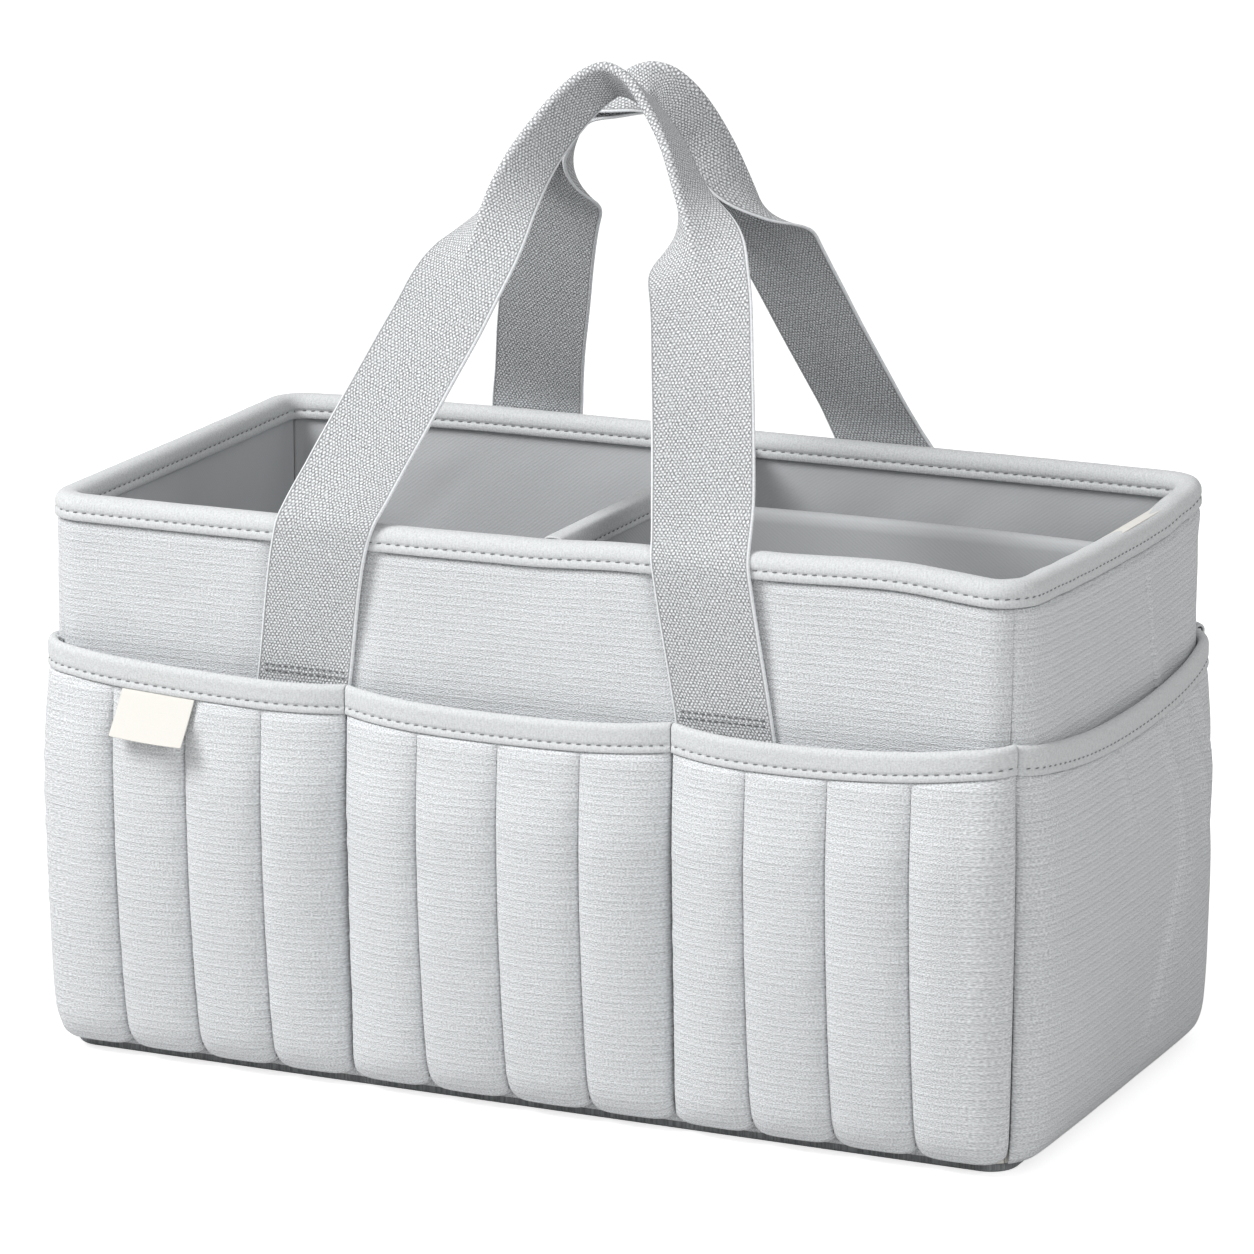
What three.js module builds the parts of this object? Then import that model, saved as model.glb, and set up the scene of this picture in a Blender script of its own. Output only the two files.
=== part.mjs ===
// A fabric caddy with quilted outside pockets, two webbing handles and a lift-out T divider.
// Millimetres, +Z up. The origin is the middle of the base, on the surface that it stands on.
// +X runs along the long side, and -Y is the front, whose left pocket carries a blank tab.
import * as THREE from 'three';

// Body and its layers
const body_length = 386;
const body_width = 192;
const body_height = 215;
const corner_radius = 14;
const fabric_thickness = 1.2;
const board_thickness = 4;
const lining_thickness = 0.8;
const base_thickness = 4;
const base_inset = 3;
const floor_board_thickness = 3;
const seam_gap = 0.3;

// Binding tape, folded over every raw edge
const tape_height = 9.2;
const tape_thickness = 1;
const tape_roll_radius = 2;
const rim_tape_thickness = 1.8;
const rim_roll_radius = 4.3;

// Quilted front and back pockets
const pocket_height = 153;
const pocket_corner_rise = 5;
const pocket_sags = [0, 2, 2];
const pocket_gape = 8;
const pocket_bulge = 4;
const bulge_peak_share = 0.25;
const corner_bulge_share = 0.5;
const seated_share = 0.85;
const channels_per_pocket = 4;
const quilt_seam_thickness = 1.8;
const quilt_crown_thickness = 8;
const quilt_fillet = 13;
const fillet_row_shares = [0, 0.2, 0.5, 1];
const drawn_row_shares = [0.9, 0.35, 0];

// Gathered side pockets
const side_pocket_height = 157;
const side_pocket_sag = 7;
const side_pocket_gape = 5.5;
const side_pocket_thickness = 1.6;
const side_pocket_puff = 4;
const pleat_depth = 1.6;
const pleat_shares = [0.56, 0.71, 0.83, 0.92];
const pleat_width_share = 0.035;

// Webbing handles. The routes are shares of the spread and of the rise above the hinge.
const strap_width = 38;
const strap_thickness = 1.6;
const strap_fold_radius = 1.25;
const strap_tail_length = 10;
const grip_above_rim = 159;
const hinge_below_rim = 7;
const handle_spread = 75.5;
const leg_splay = 8.5;
const handle_apex_inset = 17.5;
const handle_bend_length = 6;
const fold_open_degrees = 2.5;
const leg_turn_start = 8;
const leg_turn_rise = 20;
const grip_spread_share = 0.75;
const front_handle = {
  center: -2,
  unfolded_shares: [0.48, 0.58],
  folded_shares: [0.93, 0.8],
  leg_turn_degrees: [0, 8],
  rolling_shares: [0.48, 0.58],
  rolled_shares: [0.93, 0.8],
  roll_degrees: [42, -15],
  roll_span: [0, 1],
  route_shares: [
    [-1, 0], [-0.894, 0.133], [-0.788, 0.253], [-0.682, 0.373], [-0.576, 0.494], [-0.503, 0.614],
    [-0.464, 0.723], [-0.404, 0.801], [-0.303, 0.88], [-0.179, 0.952], [-0.079, 0.988], [0, 1],
    [0.119, 0.982], [0.237, 0.934], [0.384, 0.855], [0.517, 0.753], [0.629, 0.663], [0.728, 0.554],
    [0.808, 0.416], [0.887, 0.271], [0.954, 0.133], [1, 0],
  ],
};
const back_handle = {
  center: -10,
  unfolded_shares: [0.627, 0.542],
  folded_shares: [0.84, 0.723],
  leg_turn_degrees: [-4, 4],
  rolling_shares: [0.627, 0.675],
  rolled_shares: [0.84, 0.855],
  roll_degrees: [0, 70],
  roll_span: [0.38, 0.66],
  route_shares: [
    [-1, 0], [-0.92, 0.133], [-0.844, 0.253], [-0.755, 0.373], [-0.669, 0.494], [-0.596, 0.584],
    [-0.516, 0.663], [-0.437, 0.735], [-0.331, 0.813], [-0.198, 0.886], [-0.053, 0.93],
    [0.066, 0.962], [0.16, 0.972], [0.252, 0.962], [0.333, 0.93], [0.404, 0.879],
    [0.47, 0.803], [0.52, 0.715], [0.56, 0.625], [0.607, 0.541], [0.685, 0.428],
    [0.752, 0.331], [0.855, 0.193], [0.935, 0.084], [1, 0],
  ],
};

// Lift-out divider
const divider_place = 9.5;
const divider_board_thickness = 3;
const divider_top_gap = 1;
const divider_floor_gap = 0.4;
const long_divider_place = 26;
const hook_thickness = 1;
const loop_thickness = 2;
const hook_width = 20;
const hook_length = 150;
const running_gap = 0.6;

// Blank tab on the left front pocket
const tab_width = 30;
const tab_length = 19.5;
const tab_thickness = 1;
const tab_stand_degrees = 36;
const tab_center_share = 0.41;

// Counts of steps along the curved surfaces
const corner_steps = 3;
const roll_steps = 3;
const channel_steps = 4;
const middle_rows = 4;
const side_pocket_steps = 24;
const loop_steps = 40;
const bend_steps = 6;
const leg_steps = 4;

// Sizes that follow from the ones above
const wall_thickness = fabric_thickness + board_thickness + lining_thickness;
const wall_top = body_height - rim_tape_thickness - seam_gap;
const handle_top = body_height + grip_above_rim;
const handle_hinge_height = body_height - hinge_below_rim;
const rim_stand_off = seam_gap + rim_tape_thickness;
const board_top = base_thickness + floor_board_thickness;
const floor_level = board_top + lining_thickness;
const pocket_bottom = base_thickness + seam_gap;
const tape_leg = tape_thickness + 2 * seam_gap;
const up = new THREE.Vector3(0, 0, 1);
const quarter_turn = Math.PI / 2;
const { clamp, degToRad, lerp, smoothstep } = THREE.MathUtils;

function material(name, color, roughness) {
  const made = new THREE.MeshStandardMaterial({ color, roughness, metalness: 0 });
  made.name = name;
  return made;
}
const outer_fabric = material('outer_fabric', '#d2d4d5', 0.9);
const binding_tape = material('binding_tape', '#cbcdce', 0.85);
const lining_fabric = material('lining_fabric', '#b4b6b8', 0.8);
const base_fabric = material('base_fabric', '#8f9294', 0.9);
const webbing = material('webbing', '#b9bbbd', 0.85);
const stiff_board = material('stiff_board', '#e4e2dc', 0.8);
const hook_and_loop = material('hook_and_loop', '#a6a8aa', 0.95);
const tab_fabric = material('tab_fabric', '#f2f1ec', 0.8);

const caddy = new THREE.Group();
caddy.name = 'caddy';

function add(name, geometry, finish) {
  const mesh = new THREE.Mesh(geometry, finish);
  mesh.name = name;
  caddy.add(mesh);
}

// Steps between two values, both ends included
function steps(from, to, count) {
  return Array.from({ length: count + 1 }, (_, i) => lerp(from, to, i / count));
}

// Turns the triangles to face out, by the sign of the volume that they enclose
function outwardGeometry(points, triangles) {
  const volume = triangles.reduce((sum, [a, b, c]) => {
    return sum + points[a].dot(new THREE.Vector3().crossVectors(points[b], points[c]));
  }, 0);
  const facing = volume > 0 ? triangles : triangles.map(([a, b, c]) => [a, c, b]);
  const geometry = new THREE.BufferGeometry();
  geometry.setFromPoints(points);
  geometry.setIndex(facing.flat());
  return geometry;
}

// A closed solid through a row of stations. Each station is a sheet's front line and back line,
// with as many points on each. An endless row joins its last station to its first.
function sheetSolid(stations, endless = false) {
  const across = stations[0].front.length;
  const around = 2 * across;
  const points = stations.flatMap(({ front, back }) => [...front, ...[...back].reverse()]);
  const triangles = [];
  const quad = (a, b, c, d) => triangles.push([a, b, c], [a, c, d]);
  const spans = endless ? stations.length : stations.length - 1;
  for (let s = 0; s < spans; s++) {
    const here = s * around;
    const next = ((s + 1) % stations.length) * around;
    for (let k = 0; k < around; k++) {
      const after = (k + 1) % around;
      quad(here + k, here + after, next + after, next + k);
    }
  }
  if (!endless) {
    const last = (stations.length - 1) * around;
    for (let k = 0; k < across - 1; k++) {
      const mate = around - 1 - k;
      quad(k, mate, mate - 1, k + 1);
      quad(last + k, last + k + 1, last + mate - 1, last + mate);
    }
  }
  return outwardGeometry(points, triangles);
}

function box(from, to) {
  const size = to.clone().sub(from);
  const middle = from.clone().add(to).multiplyScalar(1 / 2);
  return new THREE.BoxGeometry(size.x, size.y, size.z).translate(middle.x, middle.y, middle.z);
}

// The four sides in plan, each described as if it were the front and then turned into place
const sides = {
  front: { turn: 0, half_length: body_length / 2, half_depth: body_width / 2 },
  right: { turn: quarter_turn, half_length: body_width / 2, half_depth: body_length / 2 },
  back: { turn: 2 * quarter_turn, half_length: body_length / 2, half_depth: body_width / 2 },
  left: { turn: 3 * quarter_turn, half_length: body_width / 2, half_depth: body_length / 2 },
};
for (const side of Object.values(sides)) {
  side.straight = side.half_length - corner_radius;
  side.reach = side.straight + corner_radius * quarter_turn / 2;
  // The corner seam cuts each side short, so that the gap is whole at the inner face too
  side.end = side.reach - corner_radius * seam_gap / 2 / (corner_radius - wall_thickness);
}

// A point beside a wall: along its outside from the middle, out from its face, and up
function wallPoint(side, along, outward, height) {
  const beyond = Math.max(Math.abs(along) - side.straight, 0);
  const angle = beyond / corner_radius;
  const radius = corner_radius + outward;
  const flat = Math.min(Math.abs(along), side.straight);
  const x = Math.sign(along) * (flat + radius * Math.sin(angle));
  const y = corner_radius - side.half_depth - radius * Math.cos(angle);
  return new THREE.Vector3(x, y, height).applyAxisAngle(up, side.turn);
}

// Places along a side: the steps of its two corners, with one straight run between them
function wallSteps(side, end) {
  const before = steps(-end, -side.straight, corner_steps);
  const after = steps(side.straight, end, corner_steps);
  return [...before, ...after];
}

// The closed outline of the whole body in plan, as places on its four sides
function aroundBody(place) {
  return Object.values(sides).flatMap((side) => {
    return wallSteps(side, side.reach).slice(1).map((along) => place(side, along));
  });
}

// A wall layer between two offsets from the outer face
function wallLayer(side, outer, inner) {
  const stations = wallSteps(side, side.end).map((along) => ({
    front: [base_thickness, wall_top].map((height) => wallPoint(side, along, outer, height)),
    back: [base_thickness, wall_top].map((height) => wallPoint(side, along, inner, height)),
  }));
  return sheetSolid(stations);
}

// A flat plate with the body's rounded plan, at an offset from the outer faces
function plate(outward, bottom, thickness) {
  const outline = aroundBody((side, along) => wallPoint(side, along, outward, bottom));
  const shape = new THREE.Shape(outline.map((point) => new THREE.Vector2(point.x, point.y)));
  const geometry = new THREE.ExtrudeGeometry(shape, { depth: thickness, bevelEnabled: false });
  return geometry.translate(0, 0, bottom);
}

function addShell() {
  const floor_offset = -wall_thickness - seam_gap;
  add('base_panel', plate(-base_inset, 0, base_thickness), base_fabric);
  add('base_board', plate(floor_offset, base_thickness, floor_board_thickness), stiff_board);
  add('floor_lining', plate(floor_offset, board_top, lining_thickness), lining_fabric);
  const layers = [
    ['outer_panel', 0, -fabric_thickness, outer_fabric],
    ['stiffener', -fabric_thickness, -fabric_thickness - board_thickness, stiff_board],
    ['lining', -fabric_thickness - board_thickness, -wall_thickness, lining_fabric],
  ];
  for (const [side_name, side] of Object.entries(sides)) {
    for (const [layer, outer, inner, finish] of layers) {
      add(`${side_name}_${layer}`, wallLayer(side, outer, inner), finish);
    }
  }
}

// One face of a folded tape in section: up one leg, over the rolled top and down the other.
// The pairs are [outward, height].
function tapeLine(outer, inner, bottom, top, radius, count) {
  const roll = steps(0, quarter_turn, count).map((angle) => {
    return [radius * (1 - Math.cos(angle)), radius * (1 - Math.sin(angle))];
  });
  const rising = roll.map(([inset, drop]) => [outer - inset, top - drop]);
  const falling = roll.map(([inset, drop]) => [inner + inset, top - drop]).reverse();
  return [[outer, bottom], ...rising, ...falling, [inner, bottom]];
}

function addRimBinding() {
  const bottom = body_height - tape_height;
  const slot_top = wall_top + seam_gap;
  const inner = -wall_thickness;
  const [outside, inside] = [rim_stand_off, inner - rim_stand_off];
  const face = tapeLine(outside, inside, bottom, body_height, rim_roll_radius, roll_steps);
  const slot = tapeLine(seam_gap, inner - seam_gap, bottom, slot_top, seam_gap, roll_steps);
  const stations = aroundBody((side, along) => ({
    front: face.map(([outward, height]) => wallPoint(side, along, outward, height)),
    back: slot.map(([outward, height]) => wallPoint(side, along, outward, height)),
  }));
  add('rim_binding', sheetSolid(stations, true), binding_tape);
}

// Height of a pocket's mouth: it rises to the body's corners and sags between its ends
function mouthHeight(pocket, share) {
  const left = pocket.rises[0] * (1 - share) ** 2;
  const right = pocket.rises[1] * share ** 2;
  return pocket.height + left + right - pocket.sag * 4 * share * (1 - share);
}

// How far the pocket's inner face stands off the wall: it gapes at the mouth and bulges lower
// down, and only its corner ends, which aren't sewn to the wall, bulge too
function pocketStandOff(pocket, share, height) {
  const to_tape = mouthHeight(pocket, share) - tape_height - pocket_bottom;
  const rise = clamp((height - pocket_bottom) / to_tape, 0, 1);
  const seat = lerp(seam_gap, pocket.seat, smoothstep(rise, 0, seated_share));
  const spread = 1 - Math.abs(2 * share - 1) ** 4;
  const sewn = pocket.sewn[share < 1 / 2 ? 0 : 1];
  const skew = Math.log(1 / 2) / Math.log(bulge_peak_share);
  const fullness = Math.sin(rise ** skew * 2 * quarter_turn);
  const held = sewn ? spread : lerp(corner_bulge_share, 1, spread);
  const bulge = pocket_bulge * fullness * held;
  return seat + bulge + pocket.gape * spread * Math.sin(rise * quarter_turn);
}

// Thickness of the quilted or gathered panel, drawn in at its bottom edge and under the tape
function pocketThickness(pocket, share, height) {
  const from_bottom = clamp((height - pocket_bottom) / quilt_fillet, 0, 1);
  const rounded = Math.sqrt(1 - (1 - from_bottom) ** 2);
  const below_tape = mouthHeight(pocket, share) - tape_height - height;
  const drawn = smoothstep(below_tape, -seam_gap, quilt_fillet);
  const seam = pocket.thickness * (1 + rounded) / 2;
  return seam + pocket.crown(share) * Math.min(rounded, drawn);
}

function quiltCrown(share) {
  const across = share * channels_per_pocket % 1;
  return (quilt_crown_thickness - quilt_seam_thickness) * (1 - Math.abs(2 * across - 1) ** 2.4);
}

function gatherCrown(share) {
  const edge = 1 - Math.abs(2 * share - 1) ** 12;
  const folds = pleat_shares.map((place) => Math.exp(-(((share - place) / pleat_width_share) ** 2)));
  return side_pocket_puff * edge - pleat_depth * Math.max(...folds) * edge;
}

// Heights of the rows of points on a pocket, close together where it is drawn in
function pocketRows(pocket, share) {
  const mouth = mouthHeight(pocket, share);
  const tape_edge = mouth - tape_height;
  const low = fillet_row_shares.map((part) => pocket_bottom + part * quilt_fillet);
  const high = drawn_row_shares.map((part) => tape_edge - part * quilt_fillet);
  const middle = steps(low.at(-1), high[0], middle_rows).slice(1, -1);
  return [...low, ...middle, ...high, mouth];
}

// Places along a pocket: even steps on the flat wall, and the wall's own steps round a corner
function pocketPlaces({ side, from, to, steps: count }) {
  const flat = steps(from, to, count).filter((along) => Math.abs(along) < side.straight - seam_gap);
  const round = wallSteps(side, side.end).filter((along) => along >= from && along <= to);
  return [...flat, ...round].sort((a, b) => a - b);
}

function addPocket(name, pocket) {
  const shares = pocketPlaces(pocket).map((along) => (along - pocket.from) / (pocket.to - pocket.from));
  const along = (share) => lerp(pocket.from, pocket.to, share);
  const panel = shares.map((share) => {
    const line = (thick) => pocketRows(pocket, share).map((height) => {
      const outward = pocketStandOff(pocket, share, height);
      const thickness = thick ? pocketThickness(pocket, share, height) : 0;
      return wallPoint(pocket.side, along(share), outward + thickness, height);
    });
    return { front: line(true), back: line(false) };
  });
  add(`${name}_pocket`, sheetSolid(panel), outer_fabric);

  const binding = shares.map((share) => {
    const mouth = mouthHeight(pocket, share);
    const stand_off = pocketStandOff(pocket, share, mouth);
    const outer = stand_off + pocket.thickness + seam_gap;
    const inner = stand_off - seam_gap;
    const top = mouth + seam_gap + tape_thickness;
    const bottom = mouth - tape_height;
    const [outside, inside] = [outer + tape_thickness, inner - tape_thickness];
    const face = tapeLine(outside, inside, bottom, top, tape_roll_radius, 1);
    const slot = tapeLine(outer, inner, bottom, mouth + seam_gap, seam_gap / 2, 1);
    const place = ([outward, height]) => wallPoint(pocket.side, along(share), outward, height);
    return { front: face.map(place), back: slot.map(place) };
  });
  add(`${name}_pocket_binding`, sheetSolid(binding), binding_tape);
}

// Straps end at the pocket mouth, and the seams between pockets run down from their inner edges
function pocketSeams(handle) {
  const half = handle_spread + leg_splay - strap_width / 2;
  return [handle.center - half, handle.center + half];
}

function longPockets(side, side_name, seams) {
  const { end } = side;
  const half_gap = seam_gap / 2;
  const runs = [
    [-end, seams[0] - half_gap],
    [seams[0] + half_gap, seams[1] - half_gap],
    [seams[1] + half_gap, end],
  ];
  const rises = [[pocket_corner_rise, 0], [0, 0], [0, pocket_corner_rise]];
  const sewn = [[false, true], [true, true], [true, false]];
  const places = side_name === 'front' ? ['left', 'middle', 'right'] : ['right', 'middle', 'left'];
  return runs.map(([from, to], i) => [`${side_name}_${places[i]}`, {
    side, from, to,
    rises: rises[i],
    sewn: sewn[i],
    height: pocket_height,
    sag: pocket_sags[i],
    gape: pocket_gape,
    seat: tape_leg + strap_thickness + seam_gap,
    thickness: quilt_seam_thickness,
    crown: quiltCrown,
    steps: channels_per_pocket * channel_steps,
  }]);
}

function sidePocket(side) {
  return {
    side, from: -side.end, to: side.end,
    rises: [0, 0],
    sewn: [false, false],
    height: side_pocket_height,
    sag: side_pocket_sag,
    gape: side_pocket_gape,
    seat: tape_leg,
    thickness: side_pocket_thickness,
    crown: side === sides.right ? gatherCrown : (share) => gatherCrown(1 - share),
    steps: side_pocket_steps,
  };
}

const front_pockets = longPockets(sides.front, 'front', pocketSeams(front_handle));
const back_seams = pocketSeams(back_handle).map((x) => -x).reverse();
const back_pockets = longPockets(sides.back, 'back', back_seams);

function addPockets() {
  const side_pockets = [['right', sidePocket(sides.right)], ['left', sidePocket(sides.left)]];
  for (const [name, pocket] of [...front_pockets, ...back_pockets, ...side_pockets]) {
    addPocket(name, pocket);
  }
}

// The blank tab hangs from under the tape of the left front pocket and stands off it
function addTab() {
  const pocket = front_pockets[0][1];
  const share = tab_center_share;
  const height = mouthHeight(pocket, share) - tape_height + tab_thickness;
  const tape_face = pocket.thickness + seam_gap + tape_thickness;
  const outward = pocketStandOff(pocket, share, height) + tape_face + seam_gap + tab_thickness / 2;
  const tab = new THREE.BoxGeometry(tab_width, tab_thickness, tab_length);
  tab.translate(0, 0, -tab_length / 2);
  tab.rotateX(degToRad(-tab_stand_degrees));
  tab.translate(lerp(pocket.from, pocket.to, share), -body_width / 2 - outward, height);
  add('blank_tab', tab, tab_fabric);
}

// Distance of a strap's middle plane from the caddy's middle plane at a height: flat on the wall,
// out past the rim binding, then leaning in to meet the other handle
function strapDistance(height) {
  const on_wall = seam_gap + strap_thickness / 2;
  const on_rim = rim_stand_off + seam_gap + strap_thickness / 2;
  const outward = lerp(on_wall, on_rim, smoothstep(height, pocket_height, body_height - tape_height));
  const bend_start = body_height - rim_roll_radius;
  const past = height - bend_start;
  const ramp = past < handle_bend_length
    ? Math.max(past, 0) ** 2 / 2 / handle_bend_length
    : past - handle_bend_length / 2;
  const whole_ramp = handle_top - bend_start - handle_bend_length / 2;
  const whole_lean = body_width / 2 + on_rim - handle_apex_inset;
  return body_width / 2 + outward - ramp * whole_lean / whole_ramp;
}

// The strap's middle line in the front handle's own half, from tail to tail
function handleRoute(handle) {
  const foot_height = pocket_height - strap_tail_length;
  const slope = leg_splay / (handle_hinge_height - pocket_height);
  const foot_spread = handle_spread + slope * (handle_hinge_height - foot_height);
  const loop = handle.route_shares.map(([across, rise]) => {
    const x = handle.center + across * handle_spread;
    return new THREE.Vector3(x, 0, lerp(handle_hinge_height, handle_top, rise));
  });
  const feet = [-1, 1].map((hand) => {
    return new THREE.Vector3(handle.center + hand * foot_spread, 0, foot_height);
  });
  return new THREE.CatmullRomCurve3([feet[0], ...loop, feet[1]], false, 'centripetal');
}

function routePoint(route, t) {
  const point = route.getPoint(t);
  point.y = -strapDistance(point.z);
  return point;
}

// The place on the route at this height, between two places on one leg
function placeAtHeight(route, height, low, high) {
  let [below, above] = [low, high];
  for (let i = 0; i < 40; i++) {
    const middle = (below + above) / 2;
    if (route.getPoint(middle).z < height) below = middle;
    else above = middle;
  }
  return (below + above) / 2;
}

// One station of the strap. Flat on the legs, which may turn a little about their own length, it
// folds in half lengthwise on the grip, with the fold outermost, and the folded band rolls.
function strapStation(handle, route, t) {
  const nudge = 1e-3;
  const point = routePoint(route, t);
  const tangent = routePoint(route, t + nudge).sub(routePoint(route, t - nudge)).normalize();
  const lean = (strapDistance(point.z - nudge) - strapDistance(point.z + nudge)) / 2 / nudge;
  const inward = new THREE.Vector3(0, 1, -lean).normalize();
  const square = new THREE.Vector3().crossVectors(tangent, inward).normalize();

  const level = new THREE.Vector3(Math.sign(square.x), 0, 0);
  const tilt = smoothstep(point.z, handle_hinge_height, handle_hinge_height + strap_width);
  const across = level.lerp(square, tilt);
  across.divideScalar(across.dot(square));

  const spread = handle_spread * grip_spread_share;
  const along_grip = clamp((point.x - handle.center + spread) / 2 / spread, 0, 1);
  const climbed = (...limits) => {
    const heights = limits.map((shares) => lerp(handle_hinge_height, handle_top, lerp(...shares, along_grip)));
    return smoothstep(point.z, ...heights);
  };
  const closing = climbed(handle.unfolded_shares, handle.folded_shares);
  const turn_from = handle_hinge_height + leg_turn_start;
  const turned = smoothstep(point.z, turn_from, turn_from + leg_turn_rise);
  const leg_turn = lerp(...handle.leg_turn_degrees, along_grip) * turned;
  const grip_roll = lerp(...handle.roll_degrees, smoothstep(along_grip, ...handle.roll_span));
  const rolled = climbed(handle.rolling_shares, handle.rolled_shares);
  const roll = degToRad(lerp(leg_turn, grip_roll, rolled));
  const open = lerp(quarter_turn, degToRad(fold_open_degrees), closing);

  const toward = inward.clone().multiplyScalar(Math.cos(roll)).addScaledVector(across, -Math.sin(roll));
  const beside = across.clone().multiplyScalar(Math.cos(roll)).addScaledVector(inward, Math.sin(roll));
  const half = strap_width / 2 - strap_fold_radius * (quarter_turn - open);
  const center = point.addScaledVector(inward, strap_fold_radius);
  const face = (offset) => strapLine({ center, toward, beside, open, half }, strap_fold_radius + offset);
  return { front: face(strap_thickness / 2), back: face(-strap_thickness / 2) };
}

// The points across one face of the strap: outer edge, beside the fold, the fold, and back
function strapLine({ center, toward, beside, open, half }, radius) {
  const arm = (hand, reach) => {
    const point = center.clone();
    point.addScaledVector(beside, hand * (radius * Math.cos(open) + reach * Math.sin(open)));
    return point.addScaledVector(toward, reach * Math.cos(open) - radius * Math.sin(open));
  };
  const near = strap_fold_radius / 2;
  const fold = center.clone().addScaledVector(toward, -radius);
  return [arm(1, half), arm(1, near), fold, arm(-1, near), arm(-1, half)];
}

function addHandle(name, handle, mirror) {
  const route = handleRoute(handle);
  const spans = handle.route_shares.length + 1;
  const top = 1 / 2;
  const at = (height, end) => placeAtHeight(route, height, end, top);
  const half_gap = seam_gap / 2;
  const bend_top = body_height + handle_bend_length;
  const bend = steps(handle_hinge_height + half_gap, bend_top, bend_steps);
  const left = bend.map((height) => at(height, 0));
  const right = bend.map((height) => at(height, 1)).reverse();
  const loop = [...left, ...steps(left[bend_steps], right[0], loop_steps).slice(1, -1), ...right];
  const seam = [0, 1].map((end) => at(handle_hinge_height - half_gap, end));
  const tail_end = 1 / spans / leg_steps / leg_steps;
  const solid = (places) => {
    const geometry = sheetSolid(places.map((t) => strapStation(handle, route, t)));
    return mirror ? outwardGeometry(...mirrored(geometry)) : geometry;
  };
  add(`${name}_handle`, solid(loop), webbing);
  add(`${name}_left_strap_leg`, solid(steps(tail_end, seam[0], leg_steps)), webbing);
  add(`${name}_right_strap_leg`, solid(steps(seam[1], 1 - tail_end, leg_steps)), webbing);
}

// The points and triangles of a solid reflected from the front to the back
function mirrored(geometry) {
  const places = geometry.getAttribute('position');
  const points = Array.from({ length: places.count }, (_, i) => {
    return new THREE.Vector3(places.getX(i), -places.getY(i), places.getZ(i));
  });
  const index = Array.from(geometry.getIndex().array);
  const triangles = Array.from({ length: index.length / 3 }, (_, i) => index.slice(3 * i, 3 * i + 3));
  return [points, triangles];
}

// A folded cloth cover: two skins and a top, open below, that a board slips into.
// It runs from one point to another, and the board lies in its middle.
function coverGeometry(axis, from, to, bottom, top) {
  const half = divider_board_thickness / 2;
  const cover = half + seam_gap + lining_thickness;
  const face = tapeLine(cover, -cover, bottom, top, lining_thickness, 1);
  const slot_half = half + seam_gap;
  const slot = tapeLine(slot_half, -slot_half, bottom, top - lining_thickness, seam_gap / 2, 1);
  return tapeGeometry(axis, from, to, face, slot);
}

// A folded section run straight along X or Y, between two places, beside another place
function tapeGeometry(axis, from, to, face, slot) {
  const place = (along) => ([outward, height]) => {
    return axis === 'y'
      ? new THREE.Vector3(divider_place + outward, along, height)
      : new THREE.Vector3(along, long_divider_place + outward, height);
  };
  return sheetSolid([from, to].map((along) => {
    return { front: face.map(place(along)), back: slot.map(place(along)) };
  }));
}

function addDivider() {
  const half_board = divider_board_thickness / 2;
  const half_cover = half_board + seam_gap + lining_thickness;
  const wall = body_width / 2 - wall_thickness;
  const end_wall = body_length / 2 - wall_thickness;
  const end_gap = running_gap + rim_stand_off + hook_thickness;
  const half = wall - end_gap;
  const bottom = floor_level + divider_floor_gap;
  const tape_top = body_height - divider_top_gap;
  const cover_top = tape_top - tape_thickness - seam_gap;
  const board_top_height = cover_top - lining_thickness - seam_gap;
  add('cross_divider_cover', coverGeometry('y', -half, half, bottom, cover_top), lining_fabric);
  add('cross_divider_board', box(
    new THREE.Vector3(divider_place - half_board, -half, bottom),
    new THREE.Vector3(divider_place + half_board, half, board_top_height),
  ), stiff_board);
  const tape_outer = half_cover + seam_gap;
  const face = tapeLine(tape_outer + tape_thickness, -tape_outer - tape_thickness,
    tape_top - tape_height, tape_top, tape_roll_radius, 1);
  const slot = tapeLine(tape_outer, -tape_outer, tape_top - tape_height,
    cover_top + seam_gap, seam_gap / 2, 1);
  add('cross_divider_binding', tapeGeometry('y', -half, half, face, slot), binding_tape);

  const long_from = divider_place + half_cover + seam_gap;
  const long_to = end_wall - end_gap;
  const long_top = tape_top - tape_height - seam_gap;
  add('long_divider_cover', coverGeometry('x', long_from, long_to, bottom, long_top), lining_fabric);
  add('long_divider_board', box(
    new THREE.Vector3(long_from, long_divider_place - half_board, bottom),
    new THREE.Vector3(long_to, long_divider_place + half_board, long_top - lining_thickness - seam_gap),
  ), stiff_board);
  addHookStrips({ wall, end_wall, half, long_to, bottom });
}

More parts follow.
